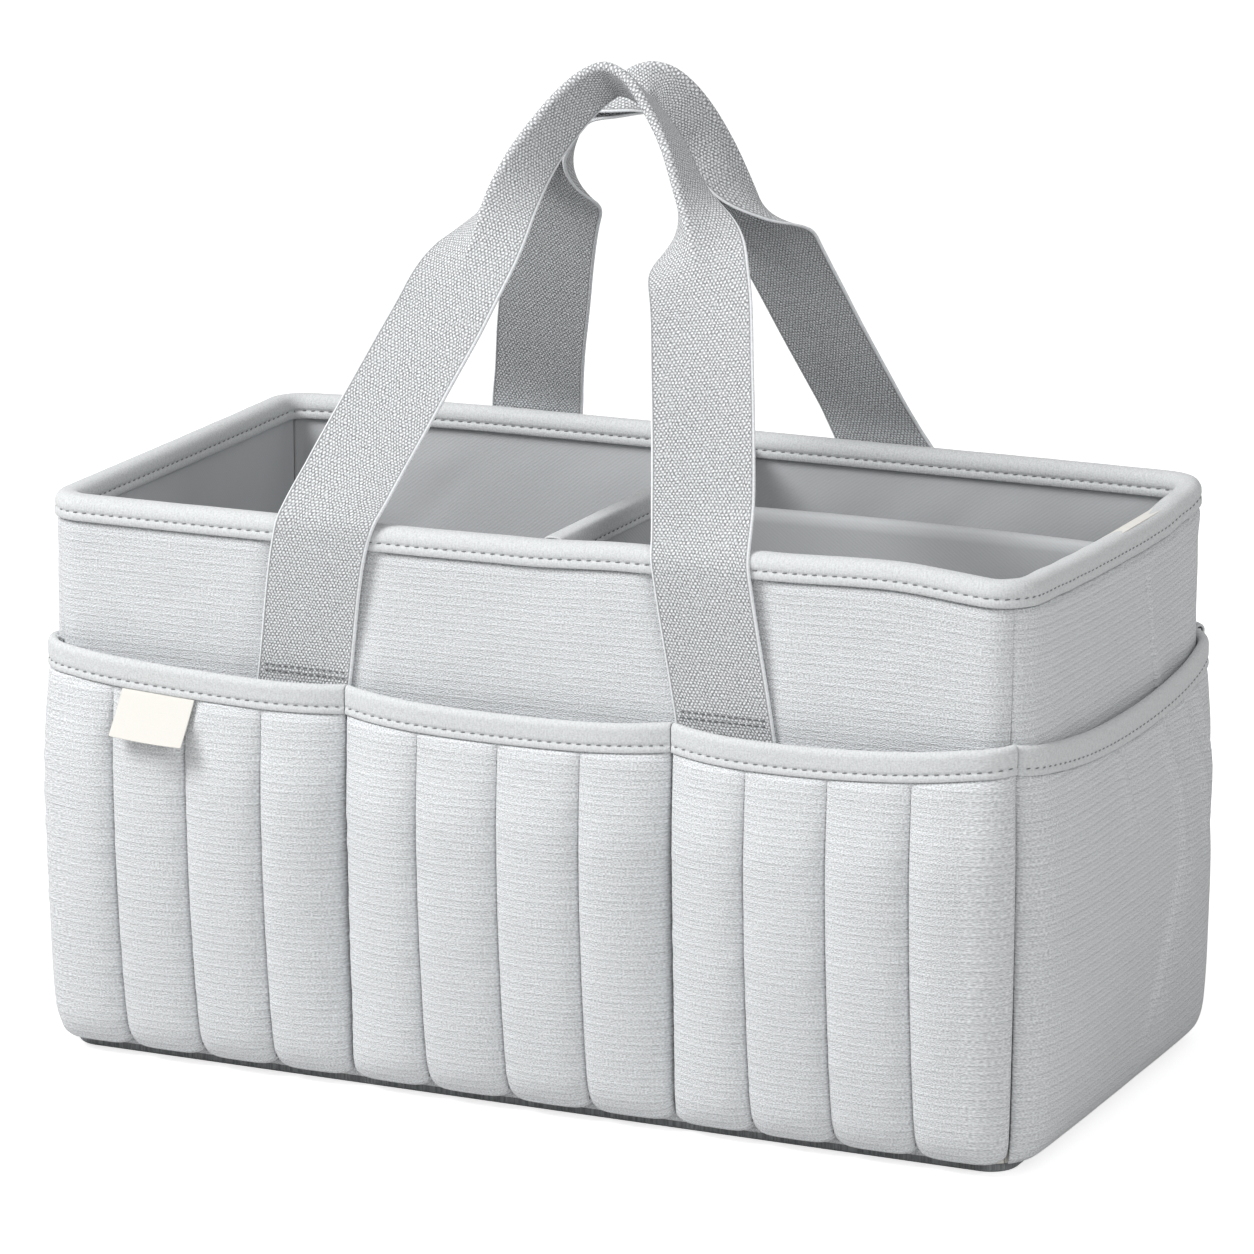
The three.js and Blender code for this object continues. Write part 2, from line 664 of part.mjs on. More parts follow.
// Loop strips sewn to the lining, and the hook strips on the divider's three ends that face them
function addHookStrips({ wall, end_wall, half, long_to, bottom }) {
  const low = bottom + hook_width;
  const high = low + hook_length;
  const half_cover = divider_board_thickness / 2 + seam_gap + lining_thickness;
  const half_hook = hook_width / 2;
  const strip = (name, corners) => {
    const xs = corners.map(([x]) => x);
    const ys = corners.map(([, y]) => y);
    const from = new THREE.Vector3(Math.min(...xs), Math.min(...ys), low);
    const to = new THREE.Vector3(Math.max(...xs), Math.max(...ys), high);
    add(name, box(from, to), hook_and_loop);
  };
  for (const [name, hand] of [['front', -1], ['back', 1]]) {
    strip(`${name}_loop_strip`, [
      [divider_place - half_hook, hand * wall],
      [divider_place + half_hook, hand * (wall - loop_thickness)],
    ]);
    strip(`${name}_hook_strip`, [
      [divider_place - half_cover, hand * half],
      [divider_place + half_cover, hand * (half + hook_thickness)],
    ]);
  }
  strip('side_loop_strip', [
    [end_wall - loop_thickness, long_divider_place - half_hook],
    [end_wall, long_divider_place + half_hook],
  ]);
  strip('side_hook_strip', [
    [long_to, long_divider_place - half_cover],
    [long_to + hook_thickness, long_divider_place + half_cover],
  ]);
}

addShell();
addRimBinding();
addPockets();
addTab();
addHandle('front', front_handle, false);
addHandle('back', back_handle, true);
addDivider();

export default caddy;
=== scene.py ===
import math
from types import SimpleNamespace

import bmesh
import bpy
from bpy.props import FloatProperty, FloatVectorProperty, IntProperty, PointerProperty
from mathutils import Matrix, Vector, noise


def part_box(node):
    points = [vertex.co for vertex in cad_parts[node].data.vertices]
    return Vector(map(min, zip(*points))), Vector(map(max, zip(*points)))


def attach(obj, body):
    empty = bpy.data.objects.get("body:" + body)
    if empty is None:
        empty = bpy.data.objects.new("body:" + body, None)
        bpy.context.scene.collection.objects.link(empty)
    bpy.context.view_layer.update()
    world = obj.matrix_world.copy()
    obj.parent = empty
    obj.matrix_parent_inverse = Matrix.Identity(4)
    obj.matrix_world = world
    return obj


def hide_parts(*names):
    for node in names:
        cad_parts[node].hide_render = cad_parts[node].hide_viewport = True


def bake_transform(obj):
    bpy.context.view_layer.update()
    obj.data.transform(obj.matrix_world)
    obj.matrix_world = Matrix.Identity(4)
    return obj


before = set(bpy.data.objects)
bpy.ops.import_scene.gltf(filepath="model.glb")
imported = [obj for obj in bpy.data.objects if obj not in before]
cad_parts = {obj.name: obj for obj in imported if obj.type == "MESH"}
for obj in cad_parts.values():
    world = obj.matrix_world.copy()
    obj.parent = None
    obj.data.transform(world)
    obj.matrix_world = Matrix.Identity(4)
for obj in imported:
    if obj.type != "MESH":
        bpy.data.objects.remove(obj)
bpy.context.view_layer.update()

bl_info = {
    "name": "Quilted Diaper Caddy",
    "version": (1, 0, 0),
    "blender": (4, 5, 0),
    "location": "View3D > Sidebar > Caddy",
    "description": "Dresses the frame of a quilted diaper caddy in cloth, tape, webbing and thread",
    "category": "Object",
}

MM = 0.001
QUARTER = math.pi / 2
SIDE_TURNS = {"front": 0, "right": 1, "back": 2, "left": 3}
# The angle that stays open between the halves of the folded webbing
FOLD_OPEN = math.radians(2.5)
# The part of a grip's spread over which its fold and roll change from one end to the other
GRIP_SPREAD_SHARE = 0.75
# Where the middle of each handle stands along the caddy
GRIP_CENTRES = {"front": -2 * MM, "back": -10 * MM}
MOUTH_HEIGHT = 153 * MM
ABOVE_POCKETS = 158 * MM
# The rim's wave starts at the first height and is full at the second
RIM_WAVE_HEIGHTS = (ABOVE_POCKETS, 202 * MM)
# Where the divider's cross panel stands along the caddy, and its long panel towards the back
DIVIDER_PLACE, LONG_PANEL_PLACE = 9.5 * MM, 26 * MM
# The pressed crease of the end walls, as (height, place) at its lower and upper end
CREASE_LOW, CREASE_HIGH = (148.8 * MM, 33.7 * MM), (198.5 * MM, 21.4 * MM)

SKY_LIGHT = 0.42
FLOOR_GLOW = 0.72
# Each lamp's place, the place it points at, its size and its power in watts
LAMPS = {
    "key": ((-1.28, -1.3, 1.95), (0, 0, 0.15), (1.1, 1.1), 58),
    "fill": ((1.6, -1.3, 1.2), (0, 0, 0.12), (1.0, 1.0), 12),
}
# The camera stands where the photograph's rim, base and pocket lines fit the frame best
CAMERA_PLACE = (0.9775, -2.1501, 0.7461)
CAMERA_YAW, CAMERA_PITCH = math.radians(24.46), math.radians(13.93)
PHOTO_PIXELS, FOCAL_PIXELS = 1254, 6520
SENSOR = 36

# How the webbing runs over each grip, as shares of the spread and of the rise above its hinge
FRONT_ROUTE = [
    (-1, 0), (-0.894, 0.133), (-0.788, 0.253), (-0.682, 0.373), (-0.576, 0.494), (-0.503, 0.614),
    (-0.464, 0.723), (-0.404, 0.801), (-0.303, 0.88), (-0.179, 0.952), (-0.079, 0.988), (0, 1),
    (0.119, 0.982), (0.237, 0.934), (0.384, 0.855), (0.517, 0.753), (0.629, 0.663), (0.728, 0.554),
    (0.808, 0.416), (0.887, 0.271), (0.954, 0.133), (1, 0),
]
BACK_ROUTE = [
    (-1, 0), (-0.92, 0.133), (-0.844, 0.253), (-0.755, 0.373), (-0.669, 0.494), (-0.596, 0.584),
    (-0.516, 0.663), (-0.437, 0.735), (-0.331, 0.813), (-0.198, 0.886), (-0.053, 0.93),
    (0.066, 0.962), (0.16, 0.972), (0.252, 0.962), (0.333, 0.93), (0.404, 0.879),
    (0.47, 0.803), (0.52, 0.715), (0.56, 0.625), (0.607, 0.541), (0.685, 0.428), (0.752, 0.331),
    (0.855, 0.193), (0.935, 0.084), (1, 0),
]


def linear(code):
    """A colour written as an sRGB hex code, in the linear values that shaders take."""
    shares = [int(code[i:i + 2], 16) / 255 for i in (1, 3, 5)]
    return tuple(c / 12.92 if c <= 0.04045 else ((c + 0.055) / 1.055) ** 2.4 for c in shares)


def length(name, description, default):
    return FloatProperty(name=name, description=description, default=default, min=0, unit="LENGTH",
                         precision=4)


def colour(name, description, code):
    return FloatVectorProperty(name=name, description=description, default=linear(code), size=3,
                               min=0, max=1, subtype="COLOR")


class CaddyBody(bpy.types.PropertyGroup):
    length: length("Length", "Body from end to end", 386 * MM)
    width: length("Width", "Body from front to back", 192 * MM)
    height: length("Height", "Body from floor to rim", 215 * MM)
    corner_radius: length("Corner radius", "Radius of the upright corners", 14 * MM)
    cloth: length("Cloth", "Thickness of the outer cloth", 1.2 * MM)
    wall: length("Wall", "Cloth, board and lining together", 6 * MM)
    lining: length("Lining", "Thickness of the lining cloth", 0.8 * MM)
    base: length("Base", "Thickness of the base panel", 4 * MM)
    base_inset: length("Base inset", "How far the base panel lies inside the walls", 3 * MM)
    floor_level: length("Floor level", "Top of the lining on the floor", 7.8 * MM)
    seam_gap: length("Seam gap", "Gap between neighbouring layers", 0.3 * MM)
    tape_height: length("Tape height", "How far each binding tape reaches down", 9.2 * MM)
    rim_tape: length("Rim tape", "Thickness of the rim's tape", 1.8 * MM)
    rim_roll: length("Rim roll", "Radius of the rim's rolled edges", 4.3 * MM)


class CaddyPockets(bpy.types.PropertyGroup):
    height: length("Height", "Mouth of the quilted pockets", MOUTH_HEIGHT)
    corner_rise: length("Corner rise", "How much the mouth rises towards a corner", 5 * MM)
    sag: length("Sag", "How much the mouth sags between its ends", 2 * MM)
    first_sag: length("First sag", "The same on the pocket at a long side's left end", 0 * MM)
    gape: length("Gape", "How far the mouth stands off the wall", 8 * MM)
    bulge: length("Bulge", "How far the pocket bulges low down", 4 * MM)
    corner_bulge: FloatProperty(name="Corner bulge", description="Share of the bulge at a corner seam",
                                default=0.5, subtype="FACTOR")
    seam: length("Seam thickness", "Padding at a channel seam", 1.8 * MM)
    crown: length("Crown thickness", "Padding in the middle of a channel", 8 * MM)
    fillet: length("Fillet", "Height over which the padding rounds in at its edges", 13 * MM)
    scallop: length("Scallop", "How far a channel's lower corners are drawn up", 3.5 * MM)
    channels: IntProperty(name="Channels", description="Padded channels in each quilted pocket",
                          default=4, min=1)
    tape: length("Tape", "Thickness of the pocket's binding tape", 1 * MM)
    tape_roll: length("Tape roll", "Radius of the tape's rolled edge", 2 * MM)
    end_height: length("End pocket height", "Mouth of the gathered end pockets", 157 * MM)
    end_sag: length("End pocket sag", "How much an end pocket's mouth sags", 7 * MM)
    end_gape: length("End pocket gape", "How far an end pocket's mouth stands off", 5.5 * MM)
    end_seam: length("End pocket thickness", "Cloth of an end pocket at its edges", 1.6 * MM)
    end_puff: length("End pocket puff", "Padding in the middle of an end pocket", 4 * MM)


class CaddyStraps(bpy.types.PropertyGroup):
    width: length("Width", "Width of the webbing", 38 * MM)
    thickness: length("Thickness", "Thickness of the webbing", 1.6 * MM)
    top: length("Top", "Height of the grips", 374 * MM)
    spread: length("Spread", "Half the distance between the feet of a grip", 75.5 * MM)
    splay: length("Splay", "How far the legs spread below the grip", 8.5 * MM)
    hinge: length("Hinge height", "Height at which the webbing leaves the wall", 208 * MM)
    fold_radius: length("Fold radius", "Radius of the lengthwise fold", 1.25 * MM)
    tail: length("Tail", "Webbing hidden behind the pocket's mouth", 10 * MM)
    apex_inset: length("Apex inset", "How far the top of a grip is from the middle", 17.5 * MM)
    bend: length("Bend", "Length over which the webbing bends in over the rim", 6 * MM)
    turn_start: length("Turn start", "Height above the hinge at which a leg starts to turn", 8 * MM)
    turn_rise: length("Turn rise", "Height over which it turns", 20 * MM)
    selvage: length("Selvage", "Width of the smooth woven edge", 1.1 * MM)


class CaddyDivider(bpy.types.PropertyGroup):
    place: length("Place", "Where the cross panel stands along the caddy", DIVIDER_PLACE)
    long_place: length("Long panel place", "Where the long panel stands", LONG_PANEL_PLACE)
    board: length("Board", "Thickness of the divider's boards", 3 * MM)
    end_gap: length("End gap", "Gap between the divider and the walls", 3.7 * MM)
    top_gap: length("Top gap", "How far the divider is below the rim", 1 * MM)
    floor_gap: length("Floor gap", "Gap under the divider", 0.4 * MM)


class CaddyTab(bpy.types.PropertyGroup):
    width: length("Width", "Width of the blank tab", 30 * MM)
    length: length("Length", "Length of the blank tab", 19.5 * MM)
    thickness: length("Thickness", "Thickness of the folded tab", 1 * MM)
    stand: FloatProperty(name="Stand", description="How far the tab stands off the pocket",
                         default=math.radians(36), subtype="ANGLE")
    share: FloatProperty(name="Share", description="Where the tab hangs along its pocket",
                         default=0.41, subtype="FACTOR")


class CaddyThread(bpy.types.PropertyGroup):
    pitch: length("Pitch", "From one stitch to the next", 3.8 * MM)
    stitch: length("Stitch", "Length of thread that shows", 2.1 * MM)
    thickness: length("Thickness", "Thickness of the thread", 0.55 * MM)
    quilt_pitch: length("Quilting pitch", "From one stitch to the next in a channel seam", 3.4 * MM)


class CaddyColours(bpy.types.PropertyGroup):
    cloth: colour("Cloth", "Ribbed outer cloth", "#D6D8DA")
    tape: colour("Tape", "Binding tape", "#CFD1D2")
    lining: colour("Lining", "Smooth lining", "#BEC0C2")
    base: colour("Base", "Cloth of the base panel", "#8F9294")
    webbing: colour("Webbing", "Handle webbing", "#CBCDCF")
    # The thread's colour is painted darker than the real thread: painted shade for the holes and groove it
    # lies in
    thread: colour("Thread", "Sewing thread", "#7E8082")
    board: colour("Board", "Stiffening board", "#E4E2DC")
    strip: colour("Strip", "Hook and loop strips", "#A6A8AA")
    tab: colour("Tab", "Blank tab", "#D7D5CF")
    floor: colour("Floor", "Studio floor", "#D4D4D4")


def plain(group):
    """The values of a property group as plain numbers, which are quick to read."""
    return SimpleNamespace(**{name: getattr(group, name) for name in group.__annotations__})


def clamp(value):
    return min(max(value, 0.0), 1.0)


def lerp(a, b, share):
    return a + (b - a) * share


def smoothstep(value, low, high):
    share = clamp((value - low) / (high - low))
    return share * share * (3 - 2 * share)


def steps(start, stop, count):
    return [lerp(start, stop, i / count) for i in range(count + 1)]


def edged_steps(start, stop, pitch, near=(0.15 * MM, 0.5 * MM, 1.1 * MM)):
    """Even steps with a few short ones at each end, where a skin rounds over."""
    inner = steps(start + near[-1], stop - near[-1], max(int((stop - start) / pitch), 1))
    return ([start] + [start + n for n in near[:-1]] + inner
            + [stop - n for n in reversed(near[:-1])] + [stop])


def rounded(distance, radius):
    """How full an edge is at a distance from its end: a quarter circle that is full at the radius."""
    return math.sqrt(1 - (1 - clamp(distance / radius)) ** 2)


def within(value, low, high, radius):
    """The same between two ends, each of which rounds over."""
    return rounded(min(value - low, high - value), radius)


def waver(x, y, size, seed):
    """A soft uneven swell from -1 to 1, with bumps of about this size."""
    return noise.noise(Vector((x / size, y / size, seed)))


# The frame's own lines: walls, pockets, tapes and straps, finer than in the solids


# How many mm the soft rim rises or sinks at even places along each wall, from its left end
RIM_LEVELS = {
    "front": (-1.6, -1.6, -1.4, -1.2, -0.7, 1.2, 3.3, 4.6, 1.6),
    "right": (1.6, 0.4, -0.7, -1.5, -2.0, -2.4, -2.2, -0.4, 2.4),
    "back": (2.4, 2.6, 2.6, 2.6, 2.6, 2.6, 2.6, 2.0, 0.6),
    "left": (0.6, 0.2, -0.2, -0.5, -0.8, -1.0, -1.2, -1.4, -1.6),
}


class Wall:
    """One side of the body, described as if it were the front and then turned into place."""

    def __init__(self, body, name):
        self.name = name
        turn = SIDE_TURNS[name] * QUARTER
        self.cos, self.sin = round(math.cos(turn)), round(math.sin(turn))
        long_side = name in ("front", "back")
        self.half_length = (body.length if long_side else body.width) / 2
        self.half_depth = (body.width if long_side else body.length) / 2
        self.radius = body.corner_radius
        self.straight = self.half_length - self.radius
        self.reach = self.straight + self.radius * QUARTER / 2
        self.end = self.reach - self.radius * body.seam_gap / 2 / (self.radius - body.wall)

    def lift(self, along, height):
        """How much the soft rim rises or sinks here; the cloth below it is drawn along."""
        levels = RIM_LEVELS[self.name]
        place = clamp((along / self.reach + 1) / 2) * (len(levels) - 1)
        k = min(int(place), len(levels) - 2)
        level = lerp(levels[k], levels[k + 1], smoothstep(place - k, 0, 1))
        return level * MM * smoothstep(height, *RIM_WAVE_HEIGHTS)

    def point(self, along, outward, height):
        height += self.lift(along, height)
        angle = max(abs(along) - self.straight, 0) / self.radius
        radius = self.radius + outward
        x = math.copysign(min(abs(along), self.straight) + radius * math.sin(angle), along)
        y = self.radius - self.half_depth - radius * math.cos(angle)
        return Vector((x * self.cos - y * self.sin, x * self.sin + y * self.cos, height))


class Pocket:
    """A pocket on a wall, whose shares run from 0 at its left end to 1 at its right."""

    def __init__(self, name, wall, ends, sizes, body, rises=(0, 0), sewn=(False, False), sag=0.0):
        self.name, self.wall, self.body, self.sizes = name, wall, body, sizes
        self.start, self.stop = ends
        self.rises, self.sewn = rises, sewn
        self.bottom = body.base + body.seam_gap
        self.quilted = wall.name in ("front", "back")
        self.tab = None
        tape_leg = sizes.tape + 2 * body.seam_gap
        if self.quilted:
            self.height, self.sag, self.gape = sizes.height, sag, sizes.gape
            self.seam, self.seat = sizes.seam, tape_leg + 1.9 * MM
        else:
            self.height, self.sag, self.gape = sizes.end_height, sizes.end_sag, sizes.end_gape
            self.seam, self.seat = sizes.end_seam, tape_leg

    def along(self, share):
        return lerp(self.start, self.stop, share)

    def mouth(self, share):
        rise = self.rises[0] * (1 - share) ** 2 + self.rises[1] * share ** 2
        return self.height + rise - self.sag * 4 * share * (1 - share)

    def stand_off(self, share, height):
        """How far the pocket's inner face stands off the wall."""
        to_tape = self.mouth(share) - self.body.tape_height - self.bottom
        rise = clamp((height - self.bottom) / to_tape)
        seat = lerp(self.body.seam_gap, self.seat, smoothstep(rise, 0, 0.85))
        spread = 1 - abs(2 * share - 1) ** 4
        held = spread if self.sewn[0 if share < 0.5 else 1] else lerp(self.sizes.corner_bulge, 1, spread)
        bulge = self.sizes.bulge * math.sin(math.pi * math.sqrt(rise)) * held
        return seat + bulge + self.gape * spread * math.sin(rise * QUARTER)

    def thickness(self, share, height):
        """Padding of the panel, drawn in at its bottom edge and under the tape."""
        fillet = self.sizes.fillet
        round_in = rounded(height - self.bottom, fillet)
        below_tape = self.mouth(share) - self.body.tape_height - height
        drawn = rounded(below_tape - 0.3 * MM, 5 * MM) * lerp(0.42, 1, smoothstep(below_tape, 0, 34 * MM))
        if self.tab:
            place, half = self.tab
            under = 1 - smoothstep(abs(self.along(share) - place), half, half + 5 * MM)
            drawn = lerp(drawn, smoothstep(below_tape, 0, 11 * MM), under)
        return self.seam * (1 + round_in) / 2 + self.crown(share, height) * min(round_in, drawn)

    def crown(self, share, height):
        return self.channel_crown(share, height) if self.quilted else self.gathered_crown(share, height)

    def channel_crown(self, share, height):
        """Full channels that meet in narrow seams, with puckers where the thread draws them in."""
        place = share * self.sizes.channels
        channel = min(int(place), self.sizes.channels - 1)
        across = 2 * (place - channel) - 1
        full = (1 - abs(across) ** 2.3) ** 0.5
        seed = self.start * 1000 + channel * 7
        edge = abs(across) ** 5
        pucker = waver(height, across * 4 * MM, 5 * MM, seed + (across > 0)) * edge * (1 - edge)
        swell = waver(height, across * 9 * MM, 26 * MM, seed + 3) * (1 - edge)
        height_of_crown = self.sizes.crown - self.sizes.seam
        return height_of_crown * (full + 0.42 * pucker + 0.06 * swell)

    def gathered_crown(self, share, height):
        """Soft puff with the pleats that run down from the gathered mouth."""
        mirrored = share if self.wall.name == "right" else 1 - share
        along = lerp(-self.wall.end, self.wall.end, mirrored)
        edge = 1 - abs(2 * share - 1) ** 12
        folds = 0
        for line, depth, reach in PLEATS:
            folds += pleat(along, height, line, depth, reach)
        swell = 0.35 * MM * waver(along, height, 30 * MM, 11)
        return (self.sizes.end_puff + swell) * edge + folds * edge


# The end pocket's pleats as (height, place) on its centre line, with their depth and fading height
PLEATS = [
    ([(150 * MM, -22 * MM), (140 * MM, -18.3 * MM), (107 * MM, -6.2 * MM)], 2.2 * MM, 98 * MM),
    ([(150 * MM, 24 * MM), (137 * MM, 29 * MM), (112 * MM, 39 * MM), (86 * MM, 43 * MM),
      (42 * MM, 24 * MM), (13 * MM, 8 * MM)], 2.4 * MM, 8 * MM),
    ([(150 * MM, 49 * MM), (135 * MM, 54 * MM), (114 * MM, 66 * MM), (80 * MM, 74 * MM)],
     2.4 * MM, 60 * MM),
    ([(150 * MM, 68 * MM), (137 * MM, 71 * MM), (112 * MM, 80 * MM), (90 * MM, 84 * MM)],
     2.0 * MM, 75 * MM),
]


def pleat(along, height, line, depth, reach):
    """A crease in gathered cloth: full on one side, sharp in the middle and slack on the other."""
    place = line[-1][1]
    for (high, a), (low, b) in zip(line, line[1:]):
        if height >= low:
            place = lerp(b, a, clamp((height - low) / (high - low)))
            break
    away = (along - place) / MM
    fade = smoothstep(height, reach, reach + 35 * MM)
    crease = -1.4 * math.exp(-(away / 1.9) ** 2)
    full_side = 0.9 * math.exp(-((away + 5) / 4) ** 2)
    slack_side = -0.7 * math.exp(-((away - 4.5) / 5) ** 2)
    return depth * fade * (crease + full_side + slack_side)


def pocket_seams(straps, centre):
    half = straps.spread + straps.splay - straps.width / 2
    return centre - half, centre + half


def all_pockets(scene):
    """The eight pockets, from the body, pocket and strap sizes."""
    body, sizes, straps = plain(scene.caddy_body), plain(scene.caddy_pockets), plain(scene.caddy_straps)
    made = []
    for side, centre in GRIP_CENTRES.items():
        wall = Wall(body, side)
        seams = pocket_seams(straps, centre)
        if side == "back":
            seams = (-seams[1], -seams[0])
        gap = body.seam_gap / 2
        runs = [(-wall.end, seams[0] - gap), (seams[0] + gap, seams[1] - gap), (seams[1] + gap, wall.end)]
        rises = [(sizes.corner_rise, 0), (0, 0), (0, sizes.corner_rise)]
        sewn = [(False, True), (True, True), (True, False)]
        names = ["left", "middle", "right"] if side == "front" else ["right", "middle", "left"]
        sags = [sizes.first_sag, sizes.sag, sizes.sag]
        for name, ends, rise, held, sag in zip(names, runs, rises, sewn, sags):
            made.append(Pocket(f"{side}_{name}", wall, ends, sizes, body, rise, held, sag))
    # The padding is pressed flat where the tab comes out
    made[0].tab = (made[0].along(scene.caddy_tab.share), scene.caddy_tab.width / 2)
    for side in ("right", "left"):
        wall = Wall(body, side)
        made.append(Pocket(side, wall, (-wall.end, wall.end), sizes, body))
    return made


class Tape:
    """A folded tape in section: up one leg, over a rolled top and down the other leg, with a
    groove where it is sewn. Places on it are distances along its face from the outer lip."""

    def __init__(self, outer, inner, bottom, top, radius, thickness, groove=0.26, crown=0.0):
        self.outer, self.inner, self.bottom, self.top = outer, inner, bottom, top
        self.radius, self.thickness, self.crown = radius, thickness, crown
        self.leg = top - radius - bottom
        self.arc = radius * QUARTER
        self.flat = max(outer - inner - 2 * radius, 0)
        self.whole = 2 * self.leg + 2 * self.arc + self.flat
        self.groove = groove * (top - bottom)

    def bare(self, distance):
        """The face without its groove, as (outward, height)."""
        half = self.whole / 2
        near = min(distance, self.whole - distance)
        if near < self.leg:
            out, height = 0, self.bottom + near
        elif near < self.leg + self.arc:
            angle = (near - self.leg) / self.radius
            out = self.radius * (1 - math.cos(angle))
            height = self.top - self.radius * (1 - math.sin(angle))
        else:
            out, height = self.radius + near - self.leg - self.arc, self.top
        over = clamp((near - self.leg) / (half - self.leg))
        height += self.crown * math.sin(over * QUARTER) ** 2
        return (self.outer - out if distance < half else self.inner + out), height

    def at(self, distance):
        """A point of the face and its outward direction, both as (outward, height)."""
        step = 0.05 * MM
        x0, z0 = self.bare(max(distance - step, 0))
        x1, z1 = self.bare(min(distance + step, self.whole))
        size = math.hypot(x1 - x0, z1 - z0)
        normal = ((z1 - z0) / size, -(x1 - x0) / size)
        if distance > self.whole / 2 and self.outer - self.inner < 1e-6:
            normal = (-normal[0], normal[1])
        near = min(distance, self.whole - distance)
        sunk = 0.45 * MM * math.exp(-((near - self.groove) / (0.65 * MM)) ** 2)
        lip = 0.12 * MM * math.sin(clamp(near / self.groove) * math.pi)
        x, z = self.bare(distance)
        return (x - normal[0] * (sunk - lip), z - normal[1] * (sunk - lip)), normal

    def skin(self, at, distance, hand, full=1.0, lifted=0.0):
        """A point of the outer or inner skin over a point of the face, as (outward, height)."""
        (out, height), normal = at
        edge = within(distance, 0, self.whole, 0.4 * MM) * full
        deep = self.thickness / 2 * (1 - hand * edge) - lifted
        return out - normal[0] * deep, height - normal[1] * deep

    def levels(self):
        """Distances at which the face gets a row of points: close together at lip and groove."""
        lip = [0, 0.12 * MM, 0.4 * MM]
        around = [self.groove + n * MM for n in (-1.4, -0.8, -0.45, -0.2, 0, 0.2, 0.45, 0.8, 1.4)]
        outer = sorted(lip + [a for a in around if a > 0.6 * MM])
        inner = [self.whole - d for d in reversed(outer)]
        count = max(int((inner[0] - outer[-1]) / (0.9 * MM)), 2)
        return outer + steps(outer[-1], inner[0], count)[1:-1] + inner


# Making meshes


def put_grid(made, columns, rows, place, lay, turned=False):
    """Adds a grid of cloth whose point (i, j) goes to place(i, j), with its flat size as UV map."""
    cloth = made.loops.layers.uv.get("cloth") or made.loops.layers.uv.new("cloth")
    points = bmesh.ops.create_grid(made, x_segments=columns, y_segments=rows, size=0.5)["verts"]
    index = {}
    for point in points:
        index[point] = (round((point.co.x + 0.5) * columns), round((point.co.y + 0.5) * rows))
    faces = list({face for point in points for face in point.link_faces})
    for face in faces:
        for corner in face.loops:
            corner[cloth].uv = lay(*index[corner.vert])
    for point in points:
        point.co = place(*index[point])
    if turned:
        bmesh.ops.reverse_faces(made, faces=faces)
    return faces


def two_skins(us, vs, place, lay=None):
    """An outer and an inner skin that meet at their edges, laid flat at these places or by lay.
    place(i, j, hand) has hand 1 outside and -1 inside."""
    made = bmesh.new()
    columns, rows = len(us) - 1, len(vs) - 1
    lay = lay or (lambda i, j: (us[i], vs[j]))
    put_grid(made, columns, rows, lambda i, j: place(i, j, 1), lay)
    put_grid(made, columns, rows, lambda i, j: place(i, j, -1), lay, turned=True)
    bmesh.ops.remove_doubles(made, verts=made.verts, dist=2e-7)
    return made


def closed_skins(us, vs, place):
    """Two skins again, whose faces are then all turned outward."""
    made = two_skins(us, vs, place)
    bmesh.ops.recalc_face_normals(made, faces=made.faces)
    return made


def one_skin(us, vs, place, thickness):
    """A thin cloth and its back. place(i, j, deep) is the point at that depth behind the face."""
    def placed(i, j, hand):
        at_edge = i in (0, len(us) - 1) or j in (0, len(vs) - 1)
        return place(i, j, thickness / 2 if at_edge else thickness * (hand < 0))

    return two_skins(us, vs, placed)


def put_stitches(made, line, pitch, stitch, thickness, slant=0.12):
    """Adds one stitch after another along a line of (place, outward direction)."""
    distances = [0.0]
    for (a, _), (b, _) in zip(line, line[1:]):
        distances.append(distances[-1] + (b - a).length)
    count = int(distances[-1] / pitch)
    margin = (distances[-1] - count * pitch) / 2
    k = 0
    run_of_stitches, joined = bmesh.new(), bpy.data.meshes.new("run of stitches")
    for n in range(count):
        middle = margin + (n + 0.5) * pitch
        while distances[k + 1] < middle and k < len(line) - 2:
            k += 1
        share = (middle - distances[k]) / max(distances[k + 1] - distances[k], 1e-9)
        place = line[k][0].lerp(line[k + 1][0], share)
        out = line[k][1].lerp(line[k + 1][1], share).normalized()
        run = line[k + 1][0] - line[k][0]
        run = (run - out * run.dot(out)).normalized()
        aside = out.cross(run)
        run, aside = run + aside * slant, aside - run * slant
        basis = Matrix((run, aside, out)).transposed().to_4x4()
        size = Matrix.Diagonal((stitch / 2, thickness / 2, thickness * 0.4, 1))
        matrix = Matrix.Translation(place) @ basis @ size
        bmesh.ops.create_uvsphere(run_of_stitches, u_segments=6, v_segments=4, radius=1, matrix=matrix)
        if n % 24 == 23 or n == count - 1:
            run_of_stitches.to_mesh(joined)
            made.from_mesh(joined)
            run_of_stitches.clear()
    run_of_stitches.free()
    bpy.data.meshes.remove(joined)


def stitch_at(wall, along, outward, height, facing=1):
    """Where a stitch lies on a wall's face, and the direction it faces."""
    here = wall.point(along, outward + facing * 0.1 * MM, height)
    outside = wall.point(along, outward + facing, height) - wall.point(along, outward, height)
    return here, outside.normalized()


def piece(name, made, finish, body, stands_for=(), sharp=None):
    """Turns a bmesh into a piece of the object, riding on a body of the frame when one is given."""
    mesh = bpy.data.meshes.new(name)
    made.to_mesh(mesh)
    made.free()
    mesh.shade_smooth()
    if sharp:
        mesh.set_sharp_from_angle(angle=sharp)
    mesh.materials.append(bpy.data.materials[finish])
    made_object = bpy.data.objects.new(name, mesh)
    bpy.context.scene.collection.objects.link(made_object)
    if body:
        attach(made_object, body)
    if stands_for:
        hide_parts(*stands_for)
    return made_object


# Finishes


